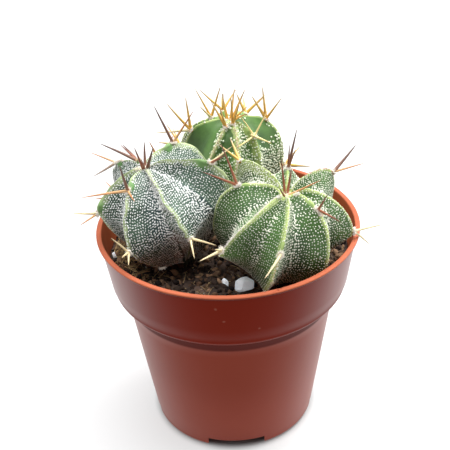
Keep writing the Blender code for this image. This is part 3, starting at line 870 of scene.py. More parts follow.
def soil_mesh():
    """The whole filling, with a finely crumbled top."""
    side = pot_inside(GAP)[:-1]
    edge = collar_line(SOIL_Z) - POT_WALL - GAP
    rings = [edge * (1 - i / 52) for i in range(52)]
    profile = [(0.0, side[0][1])] + side + [(radius, SOIL_Z) for radius in rings] + [(0.0, SOIL_Z)]
    bm = turned(profile, 150)
    for vert in bm.verts:
        if vert.co.z > side[-1][1] + 1 * MM:
            place = vert.co.copy()
            fine = noise.fractal(place * 520, 0.8, 2.1, 4) * 0.55 * MM
            vert.co.z = soil_height(place.x, place.y) + fine
            limit = collar_line(vert.co.z) - POT_WALL - GAP
            vert.co.xy *= min(1.0, limit / max(limit / 2, vert.co.xy.length))
    return bm


def peat_finish(settings):
    finish = Finish("moist_peat", 0.9, 0.3)
    place = finish.place()
    cloud = finish.noise(place, 160.0, 4.0, 0.6)
    fine = finish.noise(place, 1500.0, 3.0, 0.7)
    finish.set("Base Color", finish.mix(
        scaled(settings.peat, 0.45),
        (scaled(settings.peat, 2.6), finish.step(cloud, 0.35, 0.75)),
        ((0.14, 0.085, 0.045), finish.step(fine, 0.62, 0.78) * 0.6),
    ))
    finish.set("Roughness", 0.75 + fine * 0.25)
    finish.bump(fine + cloud, 0.8, 0.0004)
    return finish


def tinted_finish(name, roughness, specular, grain, depth=0.00005):
    """A finish that takes its colour from the piece's own tints, with a fine grain."""
    finish = Finish(name, roughness, specular)
    fine = finish.noise(finish.place(), grain, 3.0, 0.6)
    finish.set("Base Color", finish.mix(finish.attribute("tint", "Color"), (BLACK, 0.30 * (1.0 - fine))))
    finish.bump(fine, 0.5, depth)
    return finish


# Crumbs' number, their colours and how large they are, as shares of the usual size
CRUMB_COUNT = 2100
CRUMBS = ((0.017, 0.011, 0.010), (0.042, 0.026, 0.019), (0.115, 0.064, 0.038), (0.30, 0.18, 0.105))
CRUMB_SIZES = (0.5, 0.7, 0.9, 1.2, 1.7, 2.1)
SPECK, SPECK_SHARE, SPECK_SIZE = (0.45, 0.42, 0.38), 0.035, 0.45  # a few are pale and small

# The first fibres lie matted at the left edge: how many stand up, are thick pale straws, and lie there in all
RAISED, STRAWS, MATTED, FIBRE_COUNT = 60, 130, 190, 600


def soil_spot(draw, radius):
    """A random place on the soil in plan, clear of the plants' necks."""
    while True:
        spot = polar(radius * math.sqrt(draw.random()), draw.uniform(0, math.tau))
        if all((spot - Vector(p.base) * MM).length > (p.neck - 1.5) * MM for p in PLANTS):
            return spot


class CACTUS_OT_soil(bpy.types.Operator):
    """Makes the potting mix with its crumbs, fibres and perlite"""

    bl_idname = "cactus.soil"
    bl_label = "Soil"

    def execute(self, context):
        settings = context.scene.potted_cactus.soil
        dress("potting_mix", mesh_of(soil_mesh()), peat_finish(settings), "soil", "soil")
        self.crumbs(settings)
        self.fibres(settings)
        self.grains(settings)
        return {"FINISHED"}

    def crumbs(self, settings):
        draw = random.Random(5)
        lump = ball(1)
        for vert in lump.verts:
            vert.co *= 1 + 0.9 * noise.noise(vert.co * 1.3 + Vector((3, 0, 0)))
        copies = Copies(lump)
        reach = collar_line(SOIL_Z) - POT_WALL - 1.5 * MM
        for _ in range(CRUMB_COUNT):
            spot = soil_spot(draw, reach)
            size = settings.crumb * draw.choice(CRUMB_SIZES)
            turn = Matrix.Rotation(draw.uniform(0, math.tau), 3, "Z") @ Matrix.Rotation(draw.uniform(0, 3), 3, "X")
            turn = turn @ Matrix.Diagonal([size * draw.uniform(0.6, 1.3) for _ in range(3)])
            shade = draw.choice(CRUMBS)
            if draw.random() < SPECK_SHARE:
                shade, turn = SPECK, turn * SPECK_SIZE
            height = soil_height(spot.x, spot.y) + size * 0.25
            copies.add(turn, (spot.x, spot.y, height), tints=(shade, shade))
        finish = tinted_finish("crumbled_peat", 0.92, 0.25, 1800.0, 0.0002)
        dress("soil_crumbs", copies.mesh(), finish, "soil", smooth=False)

    def fibres(self, settings):
        draw = random.Random(8)
        copies = Copies(strand(4, 7, 0.35))
        reach = collar_line(SOIL_Z) - POT_WALL - 2 * MM
        for i in range(FIBRE_COUNT):
            if i < MATTED:
                spot = polar(draw.uniform(27, 37) * MM, math.radians(draw.uniform(160, 215)))
                if i < RAISED:
                    spot = polar(draw.uniform(33, 38) * MM, math.radians(draw.uniform(166, 196)))
                long = settings.fibre * draw.uniform(0.9, 2.0)
            else:
                spot = soil_spot(draw, reach)
                long = settings.fibre * draw.uniform(0.35, 1.1)
            turn = draw.uniform(0, math.tau)
            if (spot + polar(long, turn)).length > reach:
                turn += math.pi
            rise = math.radians(draw.uniform(15, 55) if i < RAISED else draw.uniform(-4, 22))
            along = Vector((math.cos(turn) * math.cos(rise), math.sin(turn) * math.cos(rise), math.sin(rise)))
            width = draw.uniform(0.07, 0.14) * MM * (1.35 if i < STRAWS else 1.0)
            shape = basis(along) @ Matrix.Diagonal((width, width, long))
            bend = Vector((draw.uniform(-0.35, 0.35), draw.uniform(-0.35, 0.35), -0.35 * draw.random())) * long
            shade = scaled(settings.straw, draw.choice((0.9, 1.3, 1.7) if i < STRAWS else (0.25, 0.5, 0.8, 1.1)))
            height = soil_height(spot.x, spot.y) + 0.5 * MM
            copies.add(shape, (spot.x, spot.y, height), bend, (shade, scaled(shade, 0.7)))
        finish = tinted_finish("dry_fibre", 0.7, 0.3, 900.0)
        dress("soil_fibres", copies.mesh(), finish, "soil")

    def grains(self, settings):
        finish = Finish("perlite", 0.85, 0.3)
        place = finish.place()
        cloud = finish.noise(place, 400.0, 3.0)
        finish.set("Base Color", finish.mix(
            scaled(settings.perlite, 0.86),
            (settings.perlite, finish.step(cloud, 0.3, 0.6)),
            ((0.40, 0.34, 0.28), (1.0 - finish.step(cloud, 0.22, 0.32)) * 0.4),
        ))
        finish.set("Roughness", 0.8 + cloud * 0.15)
        finish.bump(finish.step(finish.cells(place, 1400.0), 0.1, 0.45), 0.5, 0.00015)
        # Painted light: a faint glow that keeps the grains bright in the plants' shade.
        finish.set("Emission Color", scaled(settings.perlite, 0.9))
        finish.set("Emission Strength", settings.clear)
        for name, (x, y), half, rise in GRAINS:
            draw = random.Random(len(name))
            flats = [random_vector(draw).normalized() * draw.uniform(0.78, 0.92) for _ in range(GRAIN_FLATS)]
            bm = ball(5)
            for vert in bm.verts:
                place = vert.co.copy()
                cuts = [flat.length_squared / flat.dot(place) for flat in flats if flat.dot(place) > 0.3]
                reach = min([GRAIN_REACH] + cuts)
                reach *= 1 + 0.03 * noise.noise(place * 4) + 0.015 * noise.noise(place * 11)
                vert.co = Vector([c * reach * h * MM for c, h in zip(place, half)])
            bmesh.ops.rotate(bm, verts=bm.verts, matrix=Matrix.Rotation(math.radians(25), 3, "Z"))
            middle = (x * MM, y * MM, soil_height(x * MM, y * MM) + rise * MM)
            bmesh.ops.translate(bm, verts=bm.verts, vec=middle)
            dress(name.replace("perlite", "grain"), mesh_of(bm), finish, "perlite", name)


# ---- Plants ----


def plant_frame(plant):
    """The plant's own frame: its origin on the soil line and its Z along its leaning axis."""
    lean_x, lean_y = (math.sin(math.radians(a)) for a in plant.lean)
    up = Vector((lean_x, lean_y, math.sqrt(1 - lean_x**2 - lean_y**2)))
    side = (Vector((1, 0, 0)) - up * up.x).normalized()
    turn = Matrix((side, up.cross(side), up)).transposed().to_4x4()
    turn.translation = Vector((plant.base[0] * MM, plant.base[1] * MM, SOIL_Z))
    return turn


def outline(reach, level, top, neck, shoulder, skirt, t):
    """Radius and height of a globe's outline: the top at t = 0, the widest place at 0.5 and the neck at 1."""
    if t <= 0.5:
        angle = t * math.pi
        radius = reach * math.sin(angle) ** (2 / shoulder)
        return radius, level + (top - level) * max(0.0, math.cos(angle)) ** (2 / shoulder)
    angle = (t - 0.5) * math.pi
    radius = neck + (reach - neck) * max(0.0, math.cos(angle)) ** (2 / skirt)
    return radius, level * (1 - math.sin(angle) ** (2 / skirt))


def ridge(plant, rib, t):
    """Radius, height and turn of a rib's ridge in the plant's frame, from crown to soil line."""
    radius, height = outline(rib.reach, rib.level, plant.height, plant.neck, rib.shoulder, rib.skirt, t)
    height -= plant.dip * math.exp(-((radius / (0.16 * rib.reach)) ** 2))
    return radius * MM, height * MM, math.radians(rib.turn + rib.sweep * (t - 0.35))


def valley(plant, near, far, t):
    """The same of the valley between two ribs, which starts from the dip in the crown."""
    reach = near.valley * (near.reach + far.reach) / 2
    level = (near.level + far.level) / 2
    top = plant.height - plant.dip
    radius, height = outline(reach, level, top, plant.neck, plant.valley_shoulder, VALLEY_SKIRT, t)
    far_turn = far.turn if far.turn > near.turn else far.turn + 360
    turn = (near.turn + far_turn + (near.sweep + far.sweep) * (t - 0.35)) / 2 + near.valley_turn
    return radius * MM, height * MM, math.radians(turn)


def flank_ends(plant, index, side, t):
    """The ridge of a rib and the valley on one side of it, as points in the plant's frame."""
    ribs = plant.ribs
    near, far = (index, index + 1) if side > 0 else (index - 1, index)
    radius, height, turn = ridge(plant, ribs[index % len(ribs)], t)
    low_radius, low_height, low_turn = valley(plant, ribs[near % len(ribs)], ribs[far % len(ribs)], t)
    start, end = polar(radius, turn), polar(low_radius, low_turn)
    return Vector((start.x, start.y, height)), Vector((end.x, end.y, low_height))


def flank_point(ends, side, v):
    """A point of a flank, from the ridge at v = 0 to the valley at 1, a little hollow between."""
    start, end = ends
    span = end - start
    across = Vector((span.y, -span.x, 0)) * side
    return start + span * v - across * (FLANK_BULGE * 4 * v * (1 - v))


def rounded(point, ends, v):
    """The point drawn in at the ridge and out at the valley, so that both are round."""
    width = (ends[1] - ends[0]).length
    flat = Vector((point.x, point.y, 0))
    if flat.length < 1e-6 or width < 1e-6:
        return point
    inward = -flat.normalized()
    near, far = 0.75 * v * width, 0.75 * (1 - v) * width
    soft_ridge, soft_valley = RIDGE_ROUND * min(1, width / (3 * MM)), VALLEY_ROUND * min(1, width / (5 * MM))
    pull = math.hypot(near, soft_ridge) - near - (math.hypot(far, soft_valley) - far)
    return point + inward * min(pull, 0.5 * flat.length)


def ease(step):
    """Columns set closer at the ridges and valleys."""
    return 0.45 * step + 0.55 * (1 - math.cos(math.pi * step)) / 2


class Skin:
    """A plant's body as a mesh with, for each vertex, where it lies on its rib."""

    def __init__(self, plant, walls):
        self.plant = plant
        self.bare = bare_spots(plant)
        self.layers = {"edge": [], "down": [], "spot": []}
        self.bm = bmesh.new()
        self.shape()
        self.bm.normal_update()
        bmesh.ops.recalc_face_normals(self.bm, faces=self.bm.faces)
        self.bm.normal_update()
        moved = [self.swollen(vert) for vert in self.bm.verts]
        for vert, place in zip(self.bm.verts, moved):
            vert.co = kept_clear(place, walls)
        self.bm.normal_update()
        self.tree = tree_of(self.bm)

    def shape(self):
        """Lays a globe's vertices on the ribs: its columns at places across them and its rows down them."""
        plant, ribs = self.plant, len(self.plant.ribs)
        columns, rows = 2 * STEPS * ribs, ROWS + NECK_ROWS + 1
        bmesh.ops.create_uvsphere(self.bm, u_segments=columns, v_segments=rows, radius=1.0)
        turn = plant_frame(plant)
        known = {}
        for vert in self.bm.verts:
            row = round(math.acos(max(-1.0, min(1.0, vert.co.z))) / math.pi * rows)
            column = round(math.atan2(vert.co.y, vert.co.x) / math.tau * columns) % columns
            index, step = divmod(column, 2 * STEPS)
            side, step = (1, step / STEPS) if step <= STEPS else (-1, 2 - step / STEPS)
            index = index if side > 0 else index + 1
            v = ease(step)
            t = min(1.0, row / ROWS)
            key = (index, side, row)
            if key not in known:
                known[key] = flank_ends(plant, index, side, t)
            ends = known[key]
            point = rounded(flank_point(ends, side, v), ends, v)
            if plant is LEFT and row > 3:
                wave = noise.noise(Vector((t * 13, index % ribs * 5.0, 0))) * (1 - v) ** 2 * min(1, row / 12)
                point += Vector((-point.y, point.x, 0)).normalized() * wave * WAVE
            if row > ROWS:
                down = min(1.0, (row - ROWS) / NECK_ROWS)
                shrink = 1 - NECK_TAPER / (plant.neck * MM) * down
                point = Vector((point.x * shrink, point.y * shrink, -NECK_DEPTH * down))
                if row == rows:
                    point = Vector((0.0, 0.0, -NECK_DEPTH - 0.4 * MM))
            band = plant.ribs[index % ribs].bands[0 if side < 0 else 1]
            self.layers["edge"].append((ends[1] - ends[0]).length * v / (band * MM) if row > 1 else 0.0)
            self.layers["down"].append(row / ROWS)
            vert.co = turn @ point

    def swollen(self, vert):
        """Where a vertex goes on the swellings and small unevenness of the skin."""
        swell, patch = 0.0, 0.0
        for spot, radius, amount in self.bare:
            near = (vert.co - spot).length / radius
            if near < 2.2:
                patch = max(patch, amount * min(1.0, 1.6 * math.exp(-(near**2))))
                swell += SWELLING * amount * math.exp(-((near / 0.8) ** 2))
        swell += sum(height * noise.noise(vert.co * close) for height, close in UNEVEN)
        self.layers["spot"].append(patch)
        return vert.co + vert.normal * swell

    def make(self, finish):
        obj = dress(self.plant.piece("flesh"), mesh_of(self.bm), finish, self.plant.slot, self.plant.name)
        for name, values in self.layers.items():
            layer = obj.data.attributes.new(name, "FLOAT", "POINT")
            layer.data.foreach_set("value", np.asarray(values, np.float32))


def kept_clear(place, walls):
    """A place moved out of the plants made before, and a gap off them."""
    for wall in walls:
        near, _, _, distance = wall.find_nearest(place)
        if distance < 12 * MM and is_inside(wall, place):
            place = near + (near - place).normalized() * 0.15 * MM
        elif distance < GAP:
            place = place + (place - near).normalized() * (GAP - distance)
    return place


def areole_frame(plant, index, place):
    """World point, outward direction and direction towards the crown at an areole."""
    before, here, after = (flank_ends(plant, index, 1, t)[0] for t in (place - 0.03, place, place + 0.03))
    along = (before - after).normalized()
    aside = UP.cross(Vector((here.x, here.y, 0))).normalized()
    outward = aside.cross(along)
    if outward.dot(Vector((here.x, here.y, 0.3 * abs(here.z)))) < 0:
        outward = -outward
    stand = plant_frame(plant)
    turn = stand.to_3x3()
    return stand @ here, (turn @ outward).normalized(), (turn @ along).normalized()


def bare_spots(plant):
    """The green swellings just above the areoles, as middles, radii and amounts."""
    radius, amount = plant.swelling
    spots = []
    for index, rib in enumerate(plant.ribs):
        for areole in rib.areoles:
            if areole.place < 0.4 or rib is LEFT.ribs[4]:
                point, outward, along = areole_frame(plant, index, areole.place)
                wide = 0.65 if rib is LEFT.ribs[5] else 1.0
                spots.append((point + along * 2.6 * wide * MM - outward * 0.4 * MM, radius * wide * MM, amount))
    return spots


# The usual fan: number of spines, their stray and their lean from the outward direction in degrees, length in mm
FAN, FAN_STRAY, FAN_LEAN, FAN_LENGTH = 4, (-18, 18), (28, 55), (8, 12)


def usual_fan(outward, along, draw):
    """Directions and lengths of the spines of an areole that has none named."""
    aside = outward.cross(along).normalized()
    start = draw.uniform(0, 360)
    for i in range(FAN):
        turn = math.radians(start + 360 / FAN * i + draw.uniform(*FAN_STRAY))
        lean = math.radians(draw.uniform(*FAN_LEAN))
        across = along * math.cos(turn) + aside * math.sin(turn)
        yield outward * math.cos(lean) + across * math.sin(lean), draw.uniform(*FAN_LENGTH) * MM


def aimed(bearing, rise):
    """The direction with a bearing from +X and a rise above level, in degrees."""
    rise = math.radians(rise)
    turn = math.radians(bearing)
    return Vector((math.cos(rise) * math.cos(turn), math.cos(rise) * math.sin(turn), math.sin(rise)))


def has_room(place, clearance, walls):
    """Whether a place is outside the other pieces, by a clearance."""
    return all(wall.find_nearest(place)[3] > clearance and not is_inside(wall, place) for wall in walls)


def is_clear(point, direction, long, walls):
    """Whether a spine stays outside the other pieces, from near its root to its tip."""
    start = point + direction * SPINE_FOOT
    if any(wall.ray_cast(start, direction, long)[0] is not None for wall in walls):
        return False
    places = [point + direction * long * part for part in (0.15, 0.4, 0.7, 1.0)]
    return all(has_room(place, SPINE_CLEARANCE, walls) for place in places)


def bent_clear(point, direction, long, outward, walls):
    """The spine's direction turned towards the outward one until it is clear, or None."""
    tries = (direction.lerp(outward, step / 4).normalized() for step in range(5))
    return next((tried for tried in tries if is_clear(point, tried, long, walls)), None)


def spines_of(plant, walls):
    """Every spine of a plant as its root, direction, length and colours, and every areole's frame and size."""
    draw = random.Random(plant.seed)
    spines, areoles = [], []
    for index, rib in enumerate(plant.ribs):
        for areole in rib.areoles:
            point, outward, along = areole_frame(plant, index, areole.place)
            if not has_room(point, AREOLE_CLEARANCE, walls):
                continue
            named = [(aimed(bearing, rise), long * MM, tints) for bearing, rise, long, tints in areole.spines]
            fan = named or [(*spine, plant.fan) for spine in usual_fan(outward, along, draw)]
            if areole.bald:  # only now, so that the other areoles' draws stay as in the solid
                continue
            areoles.append((point, outward, along, 1.0))
            for direction, long, tints in fan:
                tried = bent_clear(point, direction, long, outward, walls)
                if tried:
                    spines.append((point, tried, long, tints))
    turn = plant_frame(plant)
    up = turn.to_3x3() @ UP
    crown = turn @ Vector((0, 0, (plant.height - plant.dip) * MM))
    areoles.append((crown, up, turn.to_3x3() @ Vector((1, 0, 0)), 1.7))
    for bearing, rise, long, tints in plant.crown_spines:
        root = crown + polar(0.9 * MM, math.radians(bearing)).to_3d()
        spines.append((root, aimed(bearing, rise), long * MM, tints))
    return spines, areoles


# Corky brown places: plant, rib, side, place down the rib, share across the flank and radius in mm
CORK = (("cactus_left", 6, -1, 0.62, 0.45, 6.5), ("cactus_left", 6, -1, 0.74, 0.6, 5.0))
CORK_BROWN = (0.150, 0.095, 0.075)
BARE_GREEN = (0.11, 0.29, 0.05)
SHADED_CORKY_BASE = (0.060, 0.055, 0.030)

SKINS = {}  # the plants' bodies, once they are made


class CACTUS_OT_flesh(bpy.types.Operator):
    """Makes the three plants' ribbed bodies"""

    bl_idname = "cactus.flesh"
    bl_label = "Plant bodies"

    def execute(self, context):
        settings = context.scene.potted_cactus.flesh
        greens = (settings.right_green, settings.left_green, settings.back_green)
        SKINS.clear()
        for plant, green in zip(PLANTS, greens):
            skin = Skin(plant, [other.tree for other in SKINS.values()])
            SKINS[plant.name] = skin
            skin.make(self.finish(plant, settings, green))
        return {"FINISHED"}

    def finish(self, plant, settings, green):
        finish = Finish(plant.piece("skin"), 0.5, 0.35)
        place = finish.place()
        cloud = finish.noise(place, 110.0, 4.0)
        ripple = finish.noise(place, 430.0, 2.0)
        fine = finish.noise(place, 1100.0, 3.0, 0.6)
        edge, down, spot = (finish.attribute(name) for name in ("edge", "down", "spot"))
        wavy = edge + (ripple - 0.5) * (1.8 if plant is LEFT else 0.9)
        lime = 1.0 - finish.step(wavy, 0.15, 0.55) * 0.42 - finish.step(wavy, 0.75, 1.30) * 0.58
        lime = lime * (1.0 - finish.step(down, 0.80, 0.97) * 0.7)
        red, mid, blue = green
        layers = [
            (scaled(green, 1.40), finish.step(cloud, 0.3, 0.7)),
            # Painted shade: the skin is darker and bluer towards the valleys.
            ((0.42 * red, 0.46 * mid, 0.80 * blue), finish.step(edge, 3.5, 11.0) * 0.7),
            (settings.left_edge if plant is LEFT else settings.edge_green, lime * 0.95),
            (finish.mix(green, (BARE_GREEN, 0.7)), spot * (1.0 - lime * 0.3)),
        ]
        for owner, index, side, t, v, radius in CORK:
            if owner == plant.name:
                middle = plant_frame(plant) @ flank_point(flank_ends(plant, index, side, t), side, v)
                near = finish.distance(place, tuple(middle)) + (cloud - 0.5) * 0.006
                layers.append((CORK_BROWN, (1.0 - finish.step(near, radius * 0.4 * MM, radius * MM)) * 0.6))
        layers += [
            # Darker towards the soil line: partly the corky base, partly painted shade.
            (SHADED_CORKY_BASE, finish.step(down + (cloud - 0.5) * 0.2, 0.84, 1.0) * 0.7),
            (scaled(green, 0.5), finish.step(fine, 0.55, 0.75) * 0.25),
        ]
        finish.set("Base Color", finish.mix(scaled(green, 0.70), *layers))
        finish.set("Roughness", 0.44 + fine * 0.25)
        finish.bump(fine * 0.5 + cloud, 0.35, 0.00018)
        return finish


# ---- Flecks ----


class Coat(NamedTuple):
    """How a plant is flecked: lengths in millimetres."""

    pitch: float
    long: float  # a fleck's length over its width
    first: float  # bare edge beside a ridge, as a share of the pale edge's width
    jitter: float  # how far a fleck strays from its even place, as a share of the pitch
    widest: float  # the widest bare edge beside a ridge
    cover: object  # the chance and size of a fleck at a place


ROW_SPACING = 0.87  # of the pitch, so that flecks of neighbouring rows lie staggered
ROW_STEPS = 110
FLECK_TURN = math.radians(150)  # how far long flecks turn with their place
FLECK_THICK = 0.55  # of its width
FLECK_RISE = 0.12  # height of its middle above the skin, as a share of its width


def fleck_rows(plant, index, side, coat):
    """Even places in rows beside a ridge: a point, the way down, its distance from the ridge and its shares."""
    ends = [flank_ends(plant, index, side, 0.012 + 0.985 * i / ROW_STEPS) for i in range(ROW_STEPS + 1)]
    widths = [(end - start).length for start, end in ends]
    pitch = coat.pitch * MM
    bare = min(coat.widest, coat.first * plant.ribs[index].bands[0 if side < 0 else 1])
    for row in itertools.count():
        distance = (bare + row * coat.pitch * ROW_SPACING) * MM
        if distance > max(widths):
            return
        walked = pitch * (0.5 if row % 2 else 1.0)
        last = None
        for i, (pair, width) in enumerate(zip(ends, widths)):
            if distance > width + 0.05 * pitch:
                last = None
                continue
            here = flank_point(pair, side, min(1.0, distance / width))
            if last is not None:
                span = (here - last).length
                walked += span
                while walked >= pitch:
                    walked -= pitch
                    back = walked / span if span > 0 else 0
                    yield here.lerp(last, back), here - last, distance, distance / width, (i - back) / ROW_STEPS
            last = here


def ramp(value, start, end):
    """0 up to start, 1 from end."""
    return min(1.0, max(0.0, (value - start) / (end - start)))


def valley_beside(index, side):
    """The number of the valley on one side of a rib: valley 0 lies between ribs 0 and 1."""
    return (index if side > 0 else index - 1) % 8


def right_cover(index, side, v, distance, t):
    """Chance and size of a fleck on the right plant: larger in the upper valleys and beside the thin ridge."""
    size = {0: 0.90, 1: 0.82, 7: 1.3}.get(valley_beside(index, side), 1.0)
    size += 0.55 * ramp(v, 0.72, 1.0) * (1 - ramp(t, 0.5, 0.75))
    if index == 2 and side > 0:
        size += 0.45 * (1 - ramp(distance, 1.0 * MM, 2.6 * MM)) * (1 - ramp(t, 0.4, 0.6))
    return 1.0, size


def left_cover(index, side, v, distance, t):
    """The same on the left plant, with white streaks in two of its valleys."""
    size = {(7, 1): 0.86, (0, -1): 0.86, (7, -1): 0.84}.get((index, side), 1.0)
    if index == 6 and side > 0:
        size += 0.75 * ramp(v, 0.45, 1.0) * (1 - ramp(t, 0.35, 0.8))
    if index == 6 and side < 0:
        size += 0.5 * (1 - ramp(t, 0.2, 0.4)) - 0.25 * ramp(t, 0.5, 0.7)
    if index == 5 and side > 0:
        size += 0.35 * ramp(v, 0.6, 1.0)
    return 1.0, size


# How full the upper flanks of the back plant are beside their ridges, by rib and side; 0.4 where none is given
UPPER = {(0, -1): 0.08, (0, 1): 0.05, (1, -1): 0.8, (1, 1): 0.4, (2, -1): 0.4, (3, 1): 0.05, (4, -1): 0.08}


def back_cover(index, side, v, distance, t):
    """The same on the back plant, whose upper flanks are bare away from the ridges and full lower down."""
    between = valley_beside(index, side)
    if between == 2:
        return 0.80, 1.2
    low = ramp(t, *{0: (0.44, 0.56), 3: (0.30, 0.40)}.get(between, (0.25, 0.36)))
    beside = 1 - ramp(distance, 1.6 * MM, 3.4 * MM)
    dense = 1.5 if between == 3 else 1.12
    return max(low, beside * UPPER.get((index, side), 0.4)), 1.45 + (dense - 1.45) * low


COATS = {
    "cactus_right": Coat(0.98, 1.15, 0.55, 0.15, 0.62, right_cover),
    "cactus_left": Coat(0.88, 2.1, 0.60, 0.12, 1.75, left_cover),
    "cactus_back": Coat(1.00, 1.1, 0.35, 0.16, 0.62, back_cover),
}


class CACTUS_OT_flecks(bpy.types.Operator):
    """Sets the white woolly flecks on the plants' skin"""

    bl_idname = "cactus.flecks"
    bl_label = "Flecks"

    def execute(self, context):
        settings = context.scene.potted_cactus.flecks
        if not SKINS:
            raise RuntimeError("make the plant bodies before their flecks")
        sizes = (settings.right_size, settings.left_size, settings.back_size)
        whites = (settings.right_white, settings.left_white, settings.back_white)
        for plant, size, white in zip(PLANTS, sizes, whites):
            self.coat(plant, size, white)
        return {"FINISHED"}

    def coat(self, plant, size, white):
        coat = COATS[plant.name]
        skin = SKINS[plant.name]
        draw = random.Random(plant.seed + 100)
        seed = bmesh.new()
        bmesh.ops.create_uvsphere(seed, u_segments=6 if coat.long < 1.5 else 5, v_segments=3, radius=1.0)
        copies = Copies(seed)
        turn = plant_frame(plant)
        walls = [other.tree for name, other in SKINS.items() if name != plant.name]
        for index, side in itertools.product(range(len(plant.ribs)), (1, -1)):
            for point, down, distance, v, t in fleck_rows(plant, index, side, coat):
                chance, grow = coat.cover(index, side, v, distance, t)
                luck, first, second = draw.random(), draw.gauss(0, coat.jitter), draw.gauss(0, coat.jitter)
                spread, spin = draw.uniform(0.70, 1.28), math.radians(draw.gauss(0, 22))
                if luck > chance:
                    continue
                down = (turn.to_3x3() @ down).normalized()
                aside = down.orthogonal().normalized()
                place = turn @ point + (down * first + aside * second) * coat.pitch * MM
                near, normal, _, _ = skin.tree.find_nearest(place)
                bare = (amount * (1.2 - (near - spot).length / radius) for spot, radius, amount in skin.bare)
                if near.z < SOIL_Z - 3 * MM or any(share > 0.15 for share in bare):
                    continue
                if any(wall.find_nearest(near, 8 * MM)[0] is not None and is_inside(wall, near) for wall in walls):
                    continue
                if coat.long > 1.5:
                    spin += FLECK_TURN * noise.noise(near * 300)
                wide = size * spread * grow
                lay = basis(normal, down) @ Matrix.Rotation(spin, 3, "Z")
                lay = lay @ Matrix.Diagonal((wide, wide * coat.long, wide * FLECK_THICK))
                copies.add(lay, near + normal * wide * FLECK_RISE, tints=(white, white))
        finish = tinted_finish(plant.piece("fleck_wool"), 0.95, 0.1, 900.0)
        dress(plant.piece("flecks"), copies.mesh(), finish, plant.slot)


# ---- Spines and wool ----


# Woolly strips on the ridges: plant, rib, places where they start and end, shift and spread in mm, hairs and colour
STRIPS = (
    ("cactus_right", 1, 0.06, 0.43, 0.7, 0.28, 420, (0.80, 0.74, 0.68)),
    ("cactus_right", 2, 0.39, 0.52, 0.0, 0.20, 130, (0.55, 0.43, 0.16)),
    ("cactus_right", 5, 0.05, 0.30, 0.0, 0.16, 120, (0.55, 0.30, 0.18)),
    ("cactus_right", 3, 0.165, 0.220, 0.0, 0.55, 260, (0.95, 0.88, 0.78)),
    ("cactus_right", 3, 0.205, 0.225, -0.5, 0.25, 60, (0.52, 0.24, 0.10)),
    ("cactus_right", 0, 0.16, 0.21, 0.0, 0.50, 160, (0.92, 0.86, 0.84)),
    ("cactus_right", 1, 0.032, 0.06, 0.0, 0.60, 160, (0.95, 0.88, 0.82)),
    ("cactus_right", 3, 0.032, 0.06, 0.0, 0.60, 160, (0.95, 0.88, 0.82)),
    ("cactus_back", 1, 0.08, 0.48, 0.0, 0.42, 420, (0.86, 0.80, 0.48)),
    ("cactus_back", 1, 0.08, 0.48, 0.2, 0.30, 120, (0.36, 0.22, 0.10)),
    ("cactus_back", 2, 0.07, 0.52, 0.0, 0.38, 420, (0.86, 0.70, 0.52)),
    ("cactus_back", 2, 0.07, 0.52, -0.3, 0.30, 140, (0.46, 0.25, 0.14)),
    ("cactus_left", 6, 0.03, 0.20, 0.0, 0.35, 160, (0.80, 0.80, 0.66)),
    ("cactus_left", 2, 0.12, 0.20, 0.0, 0.60, 200, (0.55, 0.36, 0.14)),
    ("cactus_left", 3, 0.12, 0.19, 0.0, 0.55, 140, (0.88, 0.74, 0.66)),
    ("cactus_left", 4, 0.032, 0.07, 0.0, 0.70, 200, (0.90, 0.84, 0.68)),
)
SPINE_DEPTH = 0.6 * MM  # how far a spine starts below the ridge
HAIRS = 190  # in the wool of a usual areole
STRIP_HAIR = 0.7 * MM  # usual length of a hair in the strips


